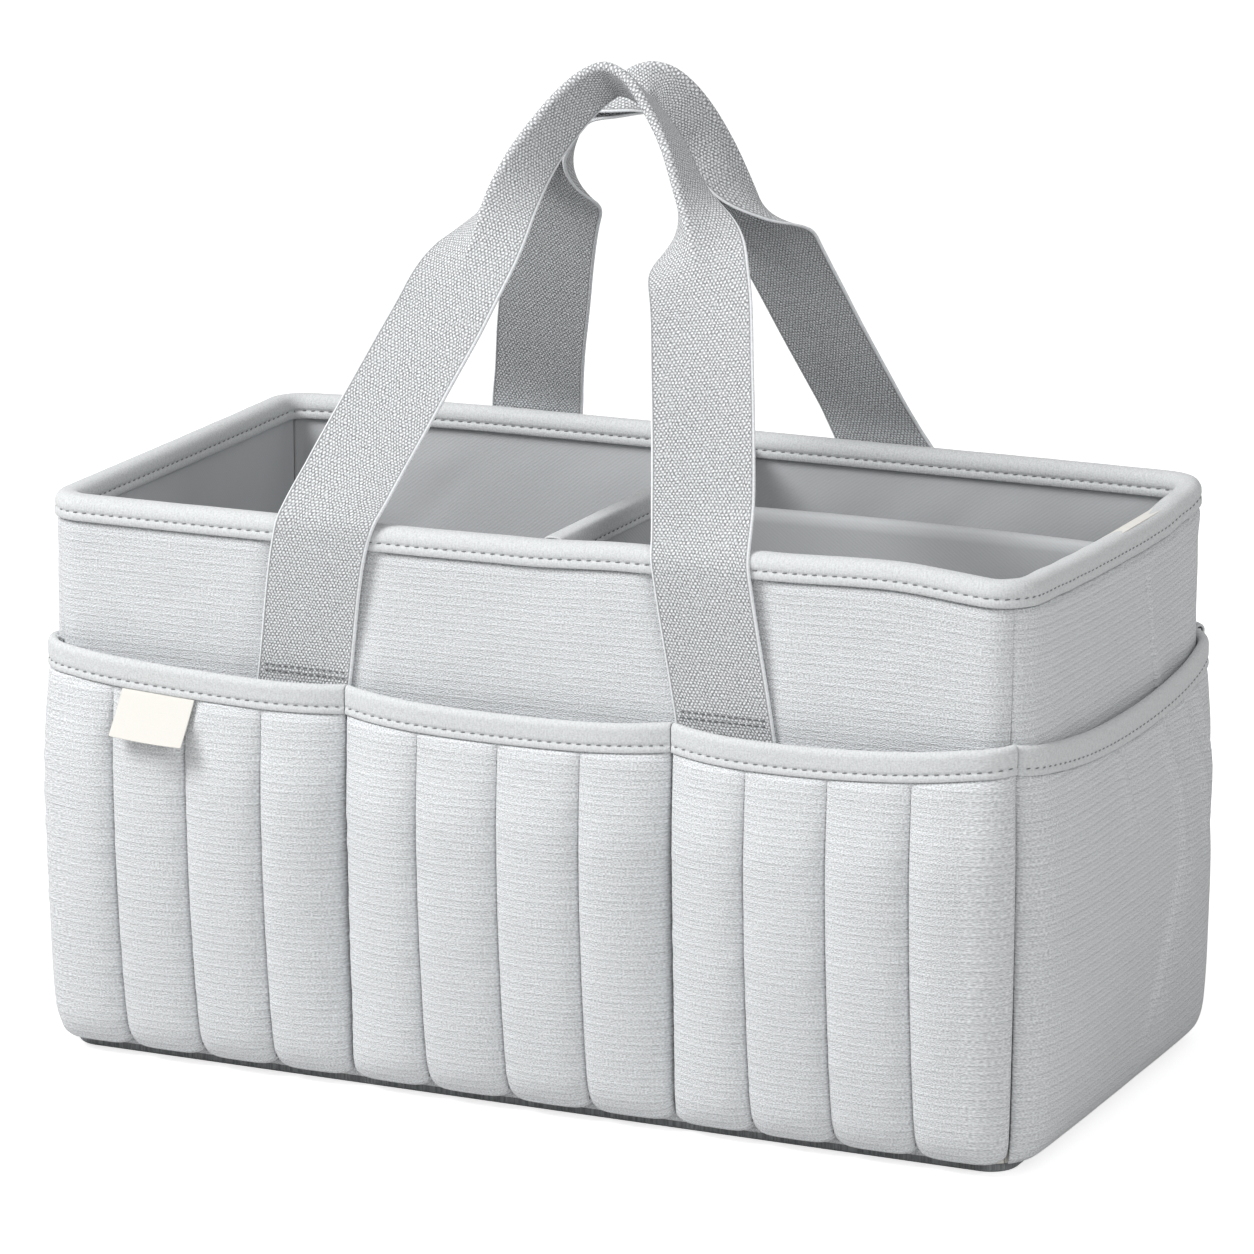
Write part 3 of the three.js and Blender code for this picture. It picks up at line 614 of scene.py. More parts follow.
def add_node(tree, kind, inputs=None, **settings):
    """Adds a shader node with its settings, and a link or a value for each named input."""
    made = tree.nodes.new(kind)
    for key, value in settings.items():
        setattr(made, key, value)
    for key, value in (inputs or {}).items():
        if isinstance(value, bpy.types.NodeSocket):
            tree.links.new(value, made.inputs[key])
        else:
            made.inputs[key].default_value = value
    return made


def calc(tree, operation, a, b=0.0, c=0.0, clamped=False):
    made = add_node(tree, "ShaderNodeMath", {0: a, 1: b, 2: c}, operation=operation, use_clamp=clamped)
    return made.outputs[0]


def fit(tree, value, low, high, to_low=0.0, to_high=1.0):
    inputs = {"Value": value, "From Min": low, "From Max": high, "To Min": to_low, "To Max": to_high}
    return add_node(tree, "ShaderNodeMapRange", inputs).outputs[0]


def shade(tree, value, colour_value, dark, light):
    """The colour, darker where the value is 0 and lighter where it is 1."""
    low = tuple(c * dark for c in colour_value) + (1,)
    high = tuple(min(c * light, 1) for c in colour_value) + (1,)
    made = add_node(tree, "ShaderNodeMix", {"Factor": value, 6: low, 7: high}, data_type="RGBA")
    return made.outputs[2]


def seen_directly(tree):
    """1 where a surface is seen by the eye, in a mirror or through glass, and 0 where it lights."""
    rays = add_node(tree, "ShaderNodeLightPath").outputs
    return calc(tree, "MAXIMUM", rays["Is Camera Ray"],
                calc(tree, "MAXIMUM", rays["Is Glossy Ray"], rays["Is Transmission Ray"]))


def start_finish(name, roughness, specular=0.3, sheen=0.0):
    """A new material, as its node tree and its shader."""
    made = bpy.data.materials.new(name)
    made.use_nodes = True
    tree = made.node_tree
    shader = tree.nodes["Principled BSDF"]
    shader.inputs["Roughness"].default_value = roughness
    shader.inputs["Specular IOR Level"].default_value = specular
    shader.inputs["Sheen Weight"].default_value = sheen
    shader.inputs["Sheen Roughness"].default_value = 0.5
    return tree, shader


def cloth_place(tree):
    """The flat cloth coordinates of a piece, in metres."""
    return add_node(tree, "ShaderNodeUVMap", uv_map="cloth").outputs["UV"]


def speckle(tree, place, across, along, detail=2.0):
    """Uneven grain whose bumps are this wide and this long, in metres."""
    scaled = add_node(tree, "ShaderNodeMapping",
                      {"Vector": place, "Scale": (1 / across, 1 / along, 1 / across)})
    inputs = {"Vector": scaled.outputs[0], "Scale": 1.0, "Detail": detail, "Roughness": 0.5}
    return add_node(tree, "ShaderNodeTexNoise", inputs).outputs["Fac"]


def bump(tree, shader, height, distance):
    made = add_node(tree, "ShaderNodeBump", {"Height": height, "Distance": distance, "Strength": 1.0})
    tree.links.new(made.outputs[0], shader.inputs["Normal"])


def ribbed_cloth(name, colour_value, rib=1.6 * MM):
    """Polyester linen-look cloth, woven with an uneven weft: matt, with broken ribs that run
    across and a grain of crossing threads. The eye sees soft lines that come and go."""
    tree, shader = start_finish(name, roughness=0.92, specular=0.2, sheen=0.15)
    place = cloth_place(tree)
    up = add_node(tree, "ShaderNodeSeparateXYZ", {"Vector": place}).outputs["Y"]
    drift = speckle(tree, place, 22 * MM, 5 * MM)
    phase = calc(tree, "MULTIPLY_ADD", up, 2 * math.pi / rib, calc(tree, "MULTIPLY", drift, 2.2))
    fine = calc(tree, "SINE", phase)
    coarse = calc(tree, "SINE", calc(tree, "MULTIPLY", phase, 0.5))
    lines = calc(tree, "MULTIPLY_ADD", coarse, 0.7, fine)
    broken = fit(tree, speckle(tree, place, 6 * MM, 1.6 * MM), 0.3, 0.65, 0.15, 1.0)
    lines = calc(tree, "MULTIPLY", lines, broken)
    # The real threads are about 0.4 mm, too fine to show, so the grain is drawn about 0.6 mm wide
    grain = speckle(tree, place, 0.7 * MM, 0.4 * MM, 0.0)
    grain = fit(tree, grain, 0.3, 0.7, -1.0, 1.0)
    height = calc(tree, "MULTIPLY_ADD", grain, 1.0, calc(tree, "MULTIPLY", lines, 0.5))
    tone = fit(tree, height, -1.4, 1.4)
    broad = speckle(tree, place, 60 * MM, 60 * MM)
    tone = calc(tree, "MULTIPLY_ADD", broad, 0.12, calc(tree, "SUBTRACT", tone, 0.06))
    tree.links.new(shade(tree, tone, colour_value, 0.7, 1.26), shader.inputs["Base Color"])
    bump(tree, shader, height, 0.08 * MM)


def grained_tape(name, colour_value):
    """Brushed polyester binding tape, pressed smooth: a fine pebbled grain, a little lighter than
    the cloth."""
    tree, shader = start_finish(name, roughness=0.85, specular=0.25, sheen=0.1)
    place = cloth_place(tree)
    # The real grain is about 0.5 mm, drawn a little coarser so that it shows
    grain = fit(tree, speckle(tree, place, 0.62 * MM, 0.62 * MM, 0.0), 0.28, 0.72)
    cross = fit(tree, speckle(tree, place, 0.7 * MM, 2 * MM, 0.0), 0.28, 0.72)
    height = calc(tree, "MULTIPLY_ADD", cross, 0.4, calc(tree, "MULTIPLY", grain, 0.6))
    tree.links.new(shade(tree, height, colour_value, 0.85, 1.11), shader.inputs["Base Color"])
    bump(tree, shader, height, 0.08 * MM)


def twill_lining(name, colour_value):
    """Polyester twill lining: close slanting ribs under a slight sheen, almost smooth to the eye."""
    tree, shader = start_finish(name, roughness=0.7, specular=0.3, sheen=0.1)
    place = cloth_place(tree)
    turned = add_node(tree, "ShaderNodeMapping", {"Vector": place, "Rotation": (0, 0, math.radians(35))})
    # Real twill lines are about 0.6 mm apart, drawn 1.1 mm apart so that they show
    lines = add_node(tree, "ShaderNodeTexWave",
                     {"Vector": turned.outputs[0], "Scale": 0.314 / (1.1 * MM), "Distortion": 1.0},
                     wave_type="BANDS", bands_direction="Y").outputs["Fac"]
    grain = speckle(tree, place, 0.8 * MM, 0.8 * MM)
    height = calc(tree, "MULTIPLY_ADD", grain, 0.6, calc(tree, "MULTIPLY", lines, 0.4))
    broad = speckle(tree, place, 45 * MM, 70 * MM)
    tone = calc(tree, "MULTIPLY_ADD", broad, 0.5, calc(tree, "MULTIPLY", height, 0.5))
    tree.links.new(shade(tree, tone, colour_value, 0.9, 1.08), shader.inputs["Base Color"])
    bump(tree, shader, height, 0.07 * MM)


def coarse_webbing(name, colour_value, half_width, selvage):
    """Polyester webbing of thick plied yarns: upright ovals in staggered rows, with painted shade in the
    gaps between them, and a smooth woven edge on both sides."""
    tree, shader = start_finish(name, roughness=0.8, specular=0.3, sheen=0.1)
    place = cloth_place(tree)
    axes = add_node(tree, "ShaderNodeSeparateXYZ", {"Vector": place}).outputs
    # Yarns 1.35 mm apart across and rows 2.2 mm apart, every other row shifted, as measured
    wander = speckle(tree, place, 5 * MM, 5 * MM)
    across = calc(tree, "MULTIPLY_ADD", axes["X"], 2 * math.pi / (1.35 * MM),
                  calc(tree, "MULTIPLY", wander, 9.0))
    along = calc(tree, "MULTIPLY_ADD", axes["Y"], 2 * math.pi / (2.2 * MM),
                 calc(tree, "MULTIPLY", wander, -4.0))
    rows = calc(tree, "COSINE", calc(tree, "MULTIPLY", along, 2.0))
    lattice = calc(tree, "MULTIPLY", calc(tree, "COSINE", across), calc(tree, "COSINE", along))
    lattice = calc(tree, "MULTIPLY_ADD", rows, 0.4, lattice)
    fuzz = speckle(tree, place, 0.7 * MM, 1.0 * MM, 0.0)
    # The colour follows the yarns' height, so the gaps between them are painted dark: painted shade over the
    # real weave
    yarn = calc(tree, "ADD", calc(tree, "MULTIPLY", fit(tree, lattice, -0.4, 0.35), 0.66),
                calc(tree, "MULTIPLY", fit(tree, fuzz, 0.3, 0.7), 0.34))
    from_middle = calc(tree, "ABSOLUTE", axes["X"])
    edge = fit(tree, from_middle, half_width - selvage, half_width - selvage + 0.2 * MM)
    # A dark line along the inner edge of each selvage: painted shade for the groove there, which also sinks
    # the bump
    groove = fit(tree, calc(tree, "ABSOLUTE", calc(tree, "SUBTRACT", from_middle,
                                                   half_width - selvage)), 0.45 * MM, 0.0)
    smooth_edge = fit(tree, speckle(tree, place, 1.5 * MM, 0.7 * MM), 0.2, 0.8, 0.7, 1.0)
    woven = add_node(tree, "ShaderNodeMix", {"Factor": edge, 2: yarn, 3: smooth_edge}).outputs[0]
    woven = calc(tree, "MULTIPLY", woven, calc(tree, "MULTIPLY_ADD", groove, -0.8, 1.0))
    broad = speckle(tree, place, 30 * MM, 50 * MM)
    tone = calc(tree, "MULTIPLY_ADD", broad, 0.1, calc(tree, "MULTIPLY", woven, 0.95))
    tree.links.new(shade(tree, tone, colour_value, 0.34, 1.5), shader.inputs["Base Color"])
    bump(tree, shader, woven, 0.35 * MM)


def spun_thread(name, colour_value):
    """Spun polyester thread: matt, its colour painted darker than the tape as painted shade for the holes
    and groove it lies sunk in.
    """
    tree, shader = start_finish(name, roughness=0.8)
    place = add_node(tree, "ShaderNodeTexCoord").outputs["Object"]
    twist = speckle(tree, place, 0.6 * MM, 0.6 * MM)
    tree.links.new(shade(tree, twist, colour_value, 0.8, 1.05), shader.inputs["Base Color"])
    bump(tree, shader, twist, 0.1 * MM)


def pressed_board(name, colour_value):
    """Pressed grey-white board: plain and matt with a mottled face."""
    tree, shader = start_finish(name, roughness=0.8)
    place = add_node(tree, "ShaderNodeTexCoord").outputs["Object"]
    mottle = speckle(tree, place, 3 * MM, 3 * MM, 4.0)
    tree.links.new(shade(tree, mottle, colour_value, 0.92, 1.04), shader.inputs["Base Color"])
    bump(tree, shader, mottle, 0.05 * MM)


def looped_strip(name, colour_value):
    """Brushed nylon hook and loop: a dull pile of tiny loops."""
    tree, shader = start_finish(name, roughness=0.95, sheen=0.3)
    place = cloth_place(tree)
    # The real loops are about 0.3 mm, drawn 0.9 mm so that they show
    loops = add_node(tree, "ShaderNodeTexVoronoi", {"Vector": place, "Scale": 1 / (0.9 * MM)},
                     feature="F1").outputs["Distance"]
    height = calc(tree, "SUBTRACT", 1.0, loops, clamped=True)
    tree.links.new(shade(tree, height, colour_value, 0.75, 1.05), shader.inputs["Base Color"])
    bump(tree, shader, height, 0.3 * MM)


def smooth_tab(name, colour_value):
    """Woven satin label stock, blank: warm white, close and smooth, with a faint weave."""
    tree, shader = start_finish(name, roughness=0.65, specular=0.35)
    place = cloth_place(tree)
    weave = speckle(tree, place, 0.7 * MM, 0.7 * MM)
    tree.links.new(shade(tree, weave, colour_value, 0.97, 1.02), shader.inputs["Base Color"])
    bump(tree, shader, weave, 0.04 * MM)


def studio_floor(name, colour_value):
    """Seamless photo paper: plain, pale and matt."""
    tree, shader = start_finish(name, roughness=1.0, specular=0.0)
    place = add_node(tree, "ShaderNodeTexCoord").outputs["Object"]
    mottle = speckle(tree, place, 400 * MM, 400 * MM)
    tree.links.new(shade(tree, mottle, colour_value, 0.995, 1.0), shader.inputs["Base Color"])
    # The eye sees it as the white background, and the object's shadow on it
    shader.inputs["Emission Color"].default_value = (1, 1, 1, 1)
    glow = calc(tree, "MULTIPLY", seen_directly(tree), FLOOR_GLOW)
    tree.links.new(glow, shader.inputs["Emission Strength"])


class CADDY_OT_finishes(bpy.types.Operator):
    """Make the cloth, tape, lining, webbing, thread and board finishes"""
    bl_idname = "caddy.finishes"
    bl_label = "Finishes"

    def execute(self, context):
        tones = context.scene.caddy_colours
        straps = context.scene.caddy_straps
        ribbed_cloth("ribbed cloth", tones.cloth)
        grained_tape("binding tape", tones.tape)
        twill_lining("twill lining", tones.lining)
        ribbed_cloth("base cloth", tones.base, rib=1.4 * MM)
        coarse_webbing("coarse webbing", tones.webbing, straps.width / 2, straps.selvage)
        spun_thread("spun thread painted with shade", tones.thread)
        pressed_board("pressed board", tones.board)
        looped_strip("looped strip", tones.strip)
        smooth_tab("smooth tab", tones.tab)
        studio_floor("studio paper", tones.floor)
        return {"FINISHED"}


# The pieces


def strap_cover(along, height, side, straps):
    """How much the webbing lies on this part of a long wall, from 0 beside it to 1 under it."""
    if side not in GRIP_CENTRES:
        return 0.0
    centre = GRIP_CENTRES[side] * (1 if side == "front" else -1)
    slope = straps.splay / (straps.hinge - MOUTH_HEIGHT)
    half = straps.spread + slope * (straps.hinge - height)
    away = abs(abs(along - centre) - half)
    return 1 - smoothstep(away, straps.width / 2 + 1 * MM, straps.width / 2 + 9 * MM)


def wall_puff(wall, along, height, body, straps):
    """Softness of the outer cloth: it swells a little between tape and pockets, but not under
    the webbing, and shows the pressed edge of the board on the end walls."""
    clear = 1 - strap_cover(along, height, wall.name, straps)
    below_tape = body.height - body.tape_height - height
    full = rounded(below_tape - 0.4 * MM, 3.6 * MM) * smoothstep(height, 110 * MM, 150 * MM)
    end_wall = wall.name in ("right", "left")
    fuller = 2.1 * smoothstep(wall.end - abs(along), 0, 26 * MM) if end_wall else 0.0
    swell = (1.3 + fuller + 0.5 * waver(along, height, 45 * MM, 5 + SIDE_TURNS[wall.name])) * MM
    wrinkle = 0.18 * MM * waver(along, height * 2, 22 * MM, 9)
    crease = 0.0
    if end_wall:
        mirrored = along if wall.name == "right" else -along
        climbed = (height - CREASE_LOW[0]) / (CREASE_HIGH[0] - CREASE_LOW[0])
        line = lerp(CREASE_LOW[1], CREASE_HIGH[1], climbed)
        away = (mirrored - line) / MM
        faded = smoothstep(below_tape, 0, 12 * MM)
        crease = faded * MM * (-0.9 * math.exp(-(away / 0.9) ** 2) + 0.8 * math.exp(-((away - 3) / 3) ** 2)
                               - 0.6 * smoothstep(away, 0, 25) * (away > 0))
    gap = -0.7 * MM * math.exp(-((below_tape - 0.1 * MM) / (0.7 * MM)) ** 2)
    return clear * (full * (swell + wrinkle) + gap) + crease


def seam_draw(wall, along, height):
    """How far the cloth is drawn in at the upright corner seams, less so above the pockets."""
    away = (wall.end - abs(along)) / MM
    drawn = -0.9 * MM * math.exp(-(away / 1.5) ** 2) - 0.7 * MM * math.exp(-(away / 5) ** 2)
    return drawn * lerp(1, 0.4, smoothstep(height, ABOVE_POCKETS, ABOVE_POCKETS + 20 * MM))


class CADDY_OT_walls(bpy.types.Operator):
    """Make the outer cloth and the lining of the four walls"""
    bl_idname = "caddy.walls"
    bl_label = "Walls"

    def execute(self, context):
        body, straps = plain(context.scene.caddy_body), plain(context.scene.caddy_straps)
        top = body.height - body.rim_tape - body.seam_gap
        for side in SIDE_TURNS:
            self.outer_cloth(Wall(body, side), body, straps, top)
            self.lining(Wall(body, side), body, top)
        return {"FINISHED"}

    def outer_cloth(self, wall, body, straps, top):
        long_wall = wall.name in ("front", "back")
        places = edged_steps(-wall.reach, wall.reach, (2.6 if long_wall else 1.1) * MM, (0.6 * MM, 1.4 * MM))
        lip = body.height - body.tape_height
        low = steps(body.base, 138 * MM, 14)
        near_lip = [lip - d * MM for d in (4, 3.2, 2.5, 1.9, 1.4, 1.0, 0.7, 0.4, 0.1, -0.3, -0.9)]
        heights = low + steps(138 * MM, lip - 5 * MM, 32)[1:] + near_lip + steps(lip + 2 * MM, top, 4)

        def place(i, j, deep):
            along, height = places[i], heights[j]
            puff = wall_puff(wall, along, height, body, straps) + seam_draw(wall, along, height)
            return wall.point(along, puff - deep, height)

        made = one_skin(places, heights, place, body.cloth * 0.85)
        obj = piece(f"{wall.name}_wall_cloth", made, "ribbed cloth", "caddy",
                    [f"{wall.name}_outer_panel"], sharp=math.radians(50))

    def lining(self, wall, body, top):
        places = edged_steps(-wall.end, wall.end, 3.2 * MM, (0.6 * MM, 1.4 * MM))
        heights = steps(body.base, top, 60)
        strip = {"front": DIVIDER_PLACE, "back": -DIVIDER_PLACE, "right": LONG_PANEL_PLACE}.get(wall.name)

        def place(i, j, deep):
            along, height = places[-1 - i], heights[j]
            free = 1.0
            if strip is not None:
                free = smoothstep(abs(along - strip), 12 * MM, 30 * MM)
            free *= smoothstep(wall.straight - abs(along), -6 * MM, 14 * MM)
            free *= smoothstep(top - height, 6 * MM, 24 * MM) * smoothstep(height, 8 * MM, 30 * MM)
            slanted = along + height * 0.7
            folds = abs(waver(slanted, height * 0.35, 34 * MM, 21 + SIDE_TURNS[wall.name]))
            soft = waver(along, height, 60 * MM, 31 + SIDE_TURNS[wall.name])
            loose = (1.6 * folds + 0.9 * (0.5 + 0.5 * soft)) * MM * free
            seam = 0.4 * MM * math.exp(-((wall.end - abs(along)) / (1.5 * MM)) ** 2)
            return wall.point(along, -body.wall - loose + seam + deep, height)

        made = one_skin(places[::-1], heights, place, body.lining * 0.7)
        obj = piece(f"{wall.name}_wall_lining", made, "twill lining", "caddy",
                    [f"{wall.name}_lining"], sharp=math.radians(50))


def body_outline(body, outward):
    """Points round the whole body in plan, at a distance from its faces."""
    points = []
    for side in SIDE_TURNS:
        wall = Wall(body, side)
        corner = steps(wall.straight, wall.reach, 7)
        for along in [-a for a in reversed(corner)][1:] + corner:
            points.append(wall.point(along, outward, 0))
    return points


def flat_panel(points, bottom, thickness, edge, segments):
    """A panel with this outline: a filled circle moved to it, raised and rounded at its edges."""
    made = bmesh.new()
    made.loops.layers.uv.new("cloth")
    circle = bmesh.ops.create_circle(made, cap_ends=True, segments=len(points), radius=1)["verts"]
    circle.sort(key=lambda v: v.index)
    for vertex, point in zip(circle, points):
        vertex.co = (point.x, point.y, bottom)
    made.normal_update()
    raised = bmesh.ops.extrude_face_region(made, geom=made.faces[:])["geom"]
    bmesh.ops.translate(made, verts=[g for g in raised if isinstance(g, bmesh.types.BMVert)],
                        vec=(0, 0, thickness))
    bmesh.ops.recalc_face_normals(made, faces=made.faces)
    rims = [e for e in made.edges if abs(e.verts[0].co.z - e.verts[1].co.z) < 1e-6]
    bmesh.ops.bevel(made, geom=rims, offset=edge, segments=segments, profile=0.5, affect="EDGES",
                    material=-1)
    cloth = made.loops.layers.uv["cloth"]
    for face in made.faces:
        for corner in face.loops:
            corner[cloth].uv = corner.vert.co.xy
    return made


class CADDY_OT_base(bpy.types.Operator):
    """Make the base panel and the lining on the floor"""
    bl_idname = "caddy.base"
    bl_label = "Base"

    def execute(self, context):
        body = plain(context.scene.caddy_body)
        outline = body_outline(body, -body.base_inset)
        made = flat_panel(outline, 0, body.base, 1.4 * MM, 4)
        piece("base_cloth", made, "base cloth", "caddy", ["base_panel"],
              sharp=math.radians(50))
        self.floor_lining(body)
        return {"FINISHED"}

    def floor_lining(self, body):
        half_x = body.length / 2 - body.wall - body.seam_gap - 0.3 * MM
        half_y = body.width / 2 - body.wall - body.seam_gap - 0.3 * MM
        corner = 7 * MM
        bottom = body.floor_level - body.lining
        xs, ys = steps(-half_x, half_x, 90), steps(-half_y, half_y, 46)

        def place(i, j, deep):
            x, y = xs[i], ys[j]
            dx, dy = max(abs(x) - half_x + corner, 0), max(abs(y) - half_y + corner, 0)
            far = math.hypot(dx, dy)
            if dx > 0 and dy > 0:
                pull = max(dx, dy) / far
                x = math.copysign(half_x - corner + dx * pull, x)
                y = math.copysign(half_y - corner + dy * pull, y)
            return Vector((x, y, bottom + 0.55 * MM + 0.12 * MM * waver(x, y, 40 * MM, 3) - deep))

        made = one_skin(xs, ys, place, 0.45 * MM)
        obj = piece("floor_cloth", made, "twill lining", "caddy", ["floor_lining"],
                    sharp=math.radians(50))


class CADDY_OT_rim(bpy.types.Operator):
    """Make the binding tape round the rim, and its stitches"""
    bl_idname = "caddy.rim"
    bl_label = "Rim binding"

    def execute(self, context):
        body, thread = plain(context.scene.caddy_body), plain(context.scene.caddy_thread)
        stand = body.seam_gap + body.rim_tape
        tape = Tape(stand, -body.wall - stand, body.height - body.tape_height, body.height,
                    body.rim_roll, body.rim_tape, groove=0.36, crown=0.1 * MM)
        walls = [Wall(body, side) for side in SIDE_TURNS]
        stations, run = [], 0.0
        for wall in walls:
            for along in steps(-wall.reach, wall.reach, int(2 * wall.reach / (2.4 * MM)))[:-1]:
                stations.append((wall, along, run + along + wall.reach))
            run += 2 * wall.reach
        stations.append((walls[0], -walls[0].reach, run))
        levels = tape.levels()
        rows = [tape.at(distance) for distance in levels]
        last = len(stations) - 1

        def place(i, j, hand):
            wall, along, _ = stations[i]
            over = math.sin(clamp(levels[j] / tape.whole) * math.pi)
            uneven = 0.1 * MM * waver(run * math.cos(i / last * 2 * math.pi) / 6,
                                      run * math.sin(i / last * 2 * math.pi) / 6, 14 * MM, 40) * over
            return wall.point(along, *tape.skin(rows[j], levels[j], hand, lifted=uneven))

        made = two_skins([run_here for _, _, run_here in stations], levels, place)
        piece("rim_tape", made, "binding tape", "caddy", ["rim_binding"])

        sewn = bmesh.new()
        for distance in (tape.groove, tape.whole - tape.groove):
            (out, height), normal = tape.at(distance)
            line = [stitch_at(wall, along, out, height, normal[0]) for wall, along, _ in stations]
            put_stitches(sewn, line, thread.pitch, thread.stitch, thread.thickness)
        piece("rim_stitches", sewn, "spun thread painted with shade", "caddy")
        return {"FINISHED"}


def pocket_places(pocket, pitch):
    """Places along a pocket as shares, with short steps beside every seam."""
    span = pocket.stop - pocket.start
    near = [0, 0.25 * MM, 0.7 * MM, 1.4 * MM, 2.3 * MM]
    parts = pocket.sizes.channels if pocket.quilted else 1
    width = span / parts
    shares = []
    for n in range(parts):
        middle = steps(near[-1], width - near[-1], int(width / pitch))
        run = near[:-1] + middle + [width - d for d in reversed(near[:-1])]
        shares += [(n * width + d) / span for d in (run if n == 0 else run[1:])]
    return shares


class CADDY_OT_pockets(bpy.types.Operator):
    """Make the six quilted pockets and the two gathered end pockets"""
    bl_idname = "caddy.pockets"
    bl_label = "Pockets"

    def execute(self, context):
        thread = plain(context.scene.caddy_thread)
        for pocket in all_pockets(context.scene):
            self.panel(pocket)
            if pocket.quilted:
                self.channel_stitches(pocket, thread)
        return {"FINISHED"}

    def panel(self, pocket):
        shares = pocket_places(pocket, 1.7 * MM if pocket.quilted else 1.1 * MM)
        low = [0, 0.15 * MM, 0.5 * MM, 1.1 * MM, 2 * MM, 3.2 * MM, 4.8 * MM, 6.8 * MM, 9 * MM, 12 * MM]
        near_lip = [5, 8.4, 9, 9.4, 9.7, 9.85, 10.1, 10.5, 11, 11.7, 12.6, 13.9, 16, 18.6, 22]
        high = [0, 0.4 * MM] + [d * MM for d in near_lip]
        middle = 58 if pocket.quilted else 70

        def height_at(i, j):
            top = pocket.mouth(shares[i])
            if j < len(low):
                return pocket.bottom + low[j]
            k = j - len(low)
            if k < middle - 1:
                return lerp(pocket.bottom + low[-1], top - high[-1], (k + 1) / middle)
            return top - high[len(high) - 1 - (k - middle + 1)]

        def scallop(i, j):
            """How far the lower edge is drawn up at this end of a channel."""
            if not pocket.quilted or j >= len(low):
                return 0.0
            across = abs(2 * (shares[i] * pocket.sizes.channels % 1) - 1)
            return pocket.sizes.scallop * across ** 6 * (1 - low[j] / low[-1])

        rows = len(low) + len(high) + middle - 2

        def place(i, j, hand):
            share, height = shares[i], height_at(i, j)
            inner = pocket.stand_off(share, height)
            thickness = pocket.thickness(share, height)
            span = pocket.stop - pocket.start
            edge = rounded(min(share, 1 - share) * span, 1.4 * MM)
            edge *= rounded(height - pocket.bottom, 1.1 * MM)
            edge *= rounded(pocket.mouth(share) - height, 0.4 * MM)
            meet = inner + pocket.seam * 0.35
            face = inner + thickness if hand > 0 else inner
            return pocket.wall.point(pocket.along(share), lerp(meet, face, edge),
                                     height + scallop(i, j))

        def lay(i, j):
            return pocket.along(shares[i]), height_at(i, j)

        made = two_skins(shares, range(rows + 1), place, lay)
        obj = piece(f"{pocket.name}_pocket_panel", made, "ribbed cloth", "caddy",
                    [f"{pocket.name}_pocket"])

    def channel_stitches(self, pocket, thread):
        sewn = bmesh.new()
        for n in range(1, pocket.sizes.channels):
            share = n / pocket.sizes.channels
            top = pocket.mouth(share) - pocket.body.tape_height - 1 * MM
            line = []
            for height in steps(pocket.bottom + 3 * MM, top, 60):
                out = pocket.stand_off(share, height) + pocket.thickness(share, height) + 0.05 * MM
                line.append(stitch_at(pocket.wall, pocket.along(share), out, height))
            put_stitches(sewn, line, thread.quilt_pitch, thread.stitch * 0.75, thread.thickness * 0.8,
                         slant=0.0)
        piece(f"{pocket.name}_pocket_stitches", sewn, "spun thread painted with shade", "caddy")


class CADDY_OT_pocket_bindings(bpy.types.Operator):
    """Make the binding tape on the mouth of each pocket, and its stitches"""
    bl_idname = "caddy.pocket_bindings"
    bl_label = "Pocket bindings"

    def execute(self, context):
        body, thread = plain(context.scene.caddy_body), plain(context.scene.caddy_thread)
        for pocket in all_pockets(context.scene):
            self.binding(pocket, body, thread)
        return {"FINISHED"}

    def tape_at(self, pocket, share, body):
        mouth = pocket.mouth(share)
        stand = pocket.stand_off(share, mouth)
        reach = body.seam_gap + pocket.sizes.tape
        return Tape(stand + pocket.seam + reach, stand - reach, mouth - body.tape_height,
                    mouth + reach, pocket.sizes.tape_roll, pocket.sizes.tape, crown=0.25 * MM)

    def binding(self, pocket, body, thread):
        places = edged_steps(pocket.start, pocket.stop, 2.2 * MM)
        span = pocket.stop - pocket.start
        columns = []
        for along in places:
            tape = self.tape_at(pocket, (along - pocket.start) / span, body)
            levels = tape.levels()
            columns.append((tape, levels, [tape.at(d) for d in levels]))
        rows = len(columns[0][1]) - 1
        if any(len(levels) - 1 != rows for _, levels, _ in columns):
            raise RuntimeError(f"the rows of {pocket.name}'s binding differ along its length")

        def place(i, j, hand):
            tape, levels, points = columns[i]
            along = places[i]
            full = within(along, pocket.start, pocket.stop, 0.5 * MM)
            over = math.sin(clamp(levels[j] / tape.whole) * math.pi)
            uneven = 0.12 * MM * waver(along, 0, 16 * MM, 50 + SIDE_TURNS[pocket.wall.name]) * over
            return pocket.wall.point(along, *tape.skin(points[j], levels[j], hand, full, uneven))

        def lay(i, j):
            return places[i], columns[i][1][j]

        made = two_skins(places, range(rows + 1), place, lay)
        piece(f"{pocket.name}_pocket_tape", made, "binding tape", "caddy",
              [f"{pocket.name}_pocket_binding"])

        sewn = bmesh.new()
        line = []
        for along, (tape, _, _) in zip(places, columns):
            (out, height), _ = tape.at(tape.groove)
            line.append(stitch_at(pocket.wall, along, out, height))
        put_stitches(sewn, line[2:-2], thread.pitch, thread.stitch, thread.thickness)
        piece(f"{pocket.name}_tape_stitches", sewn, "spun thread painted with shade", "caddy")


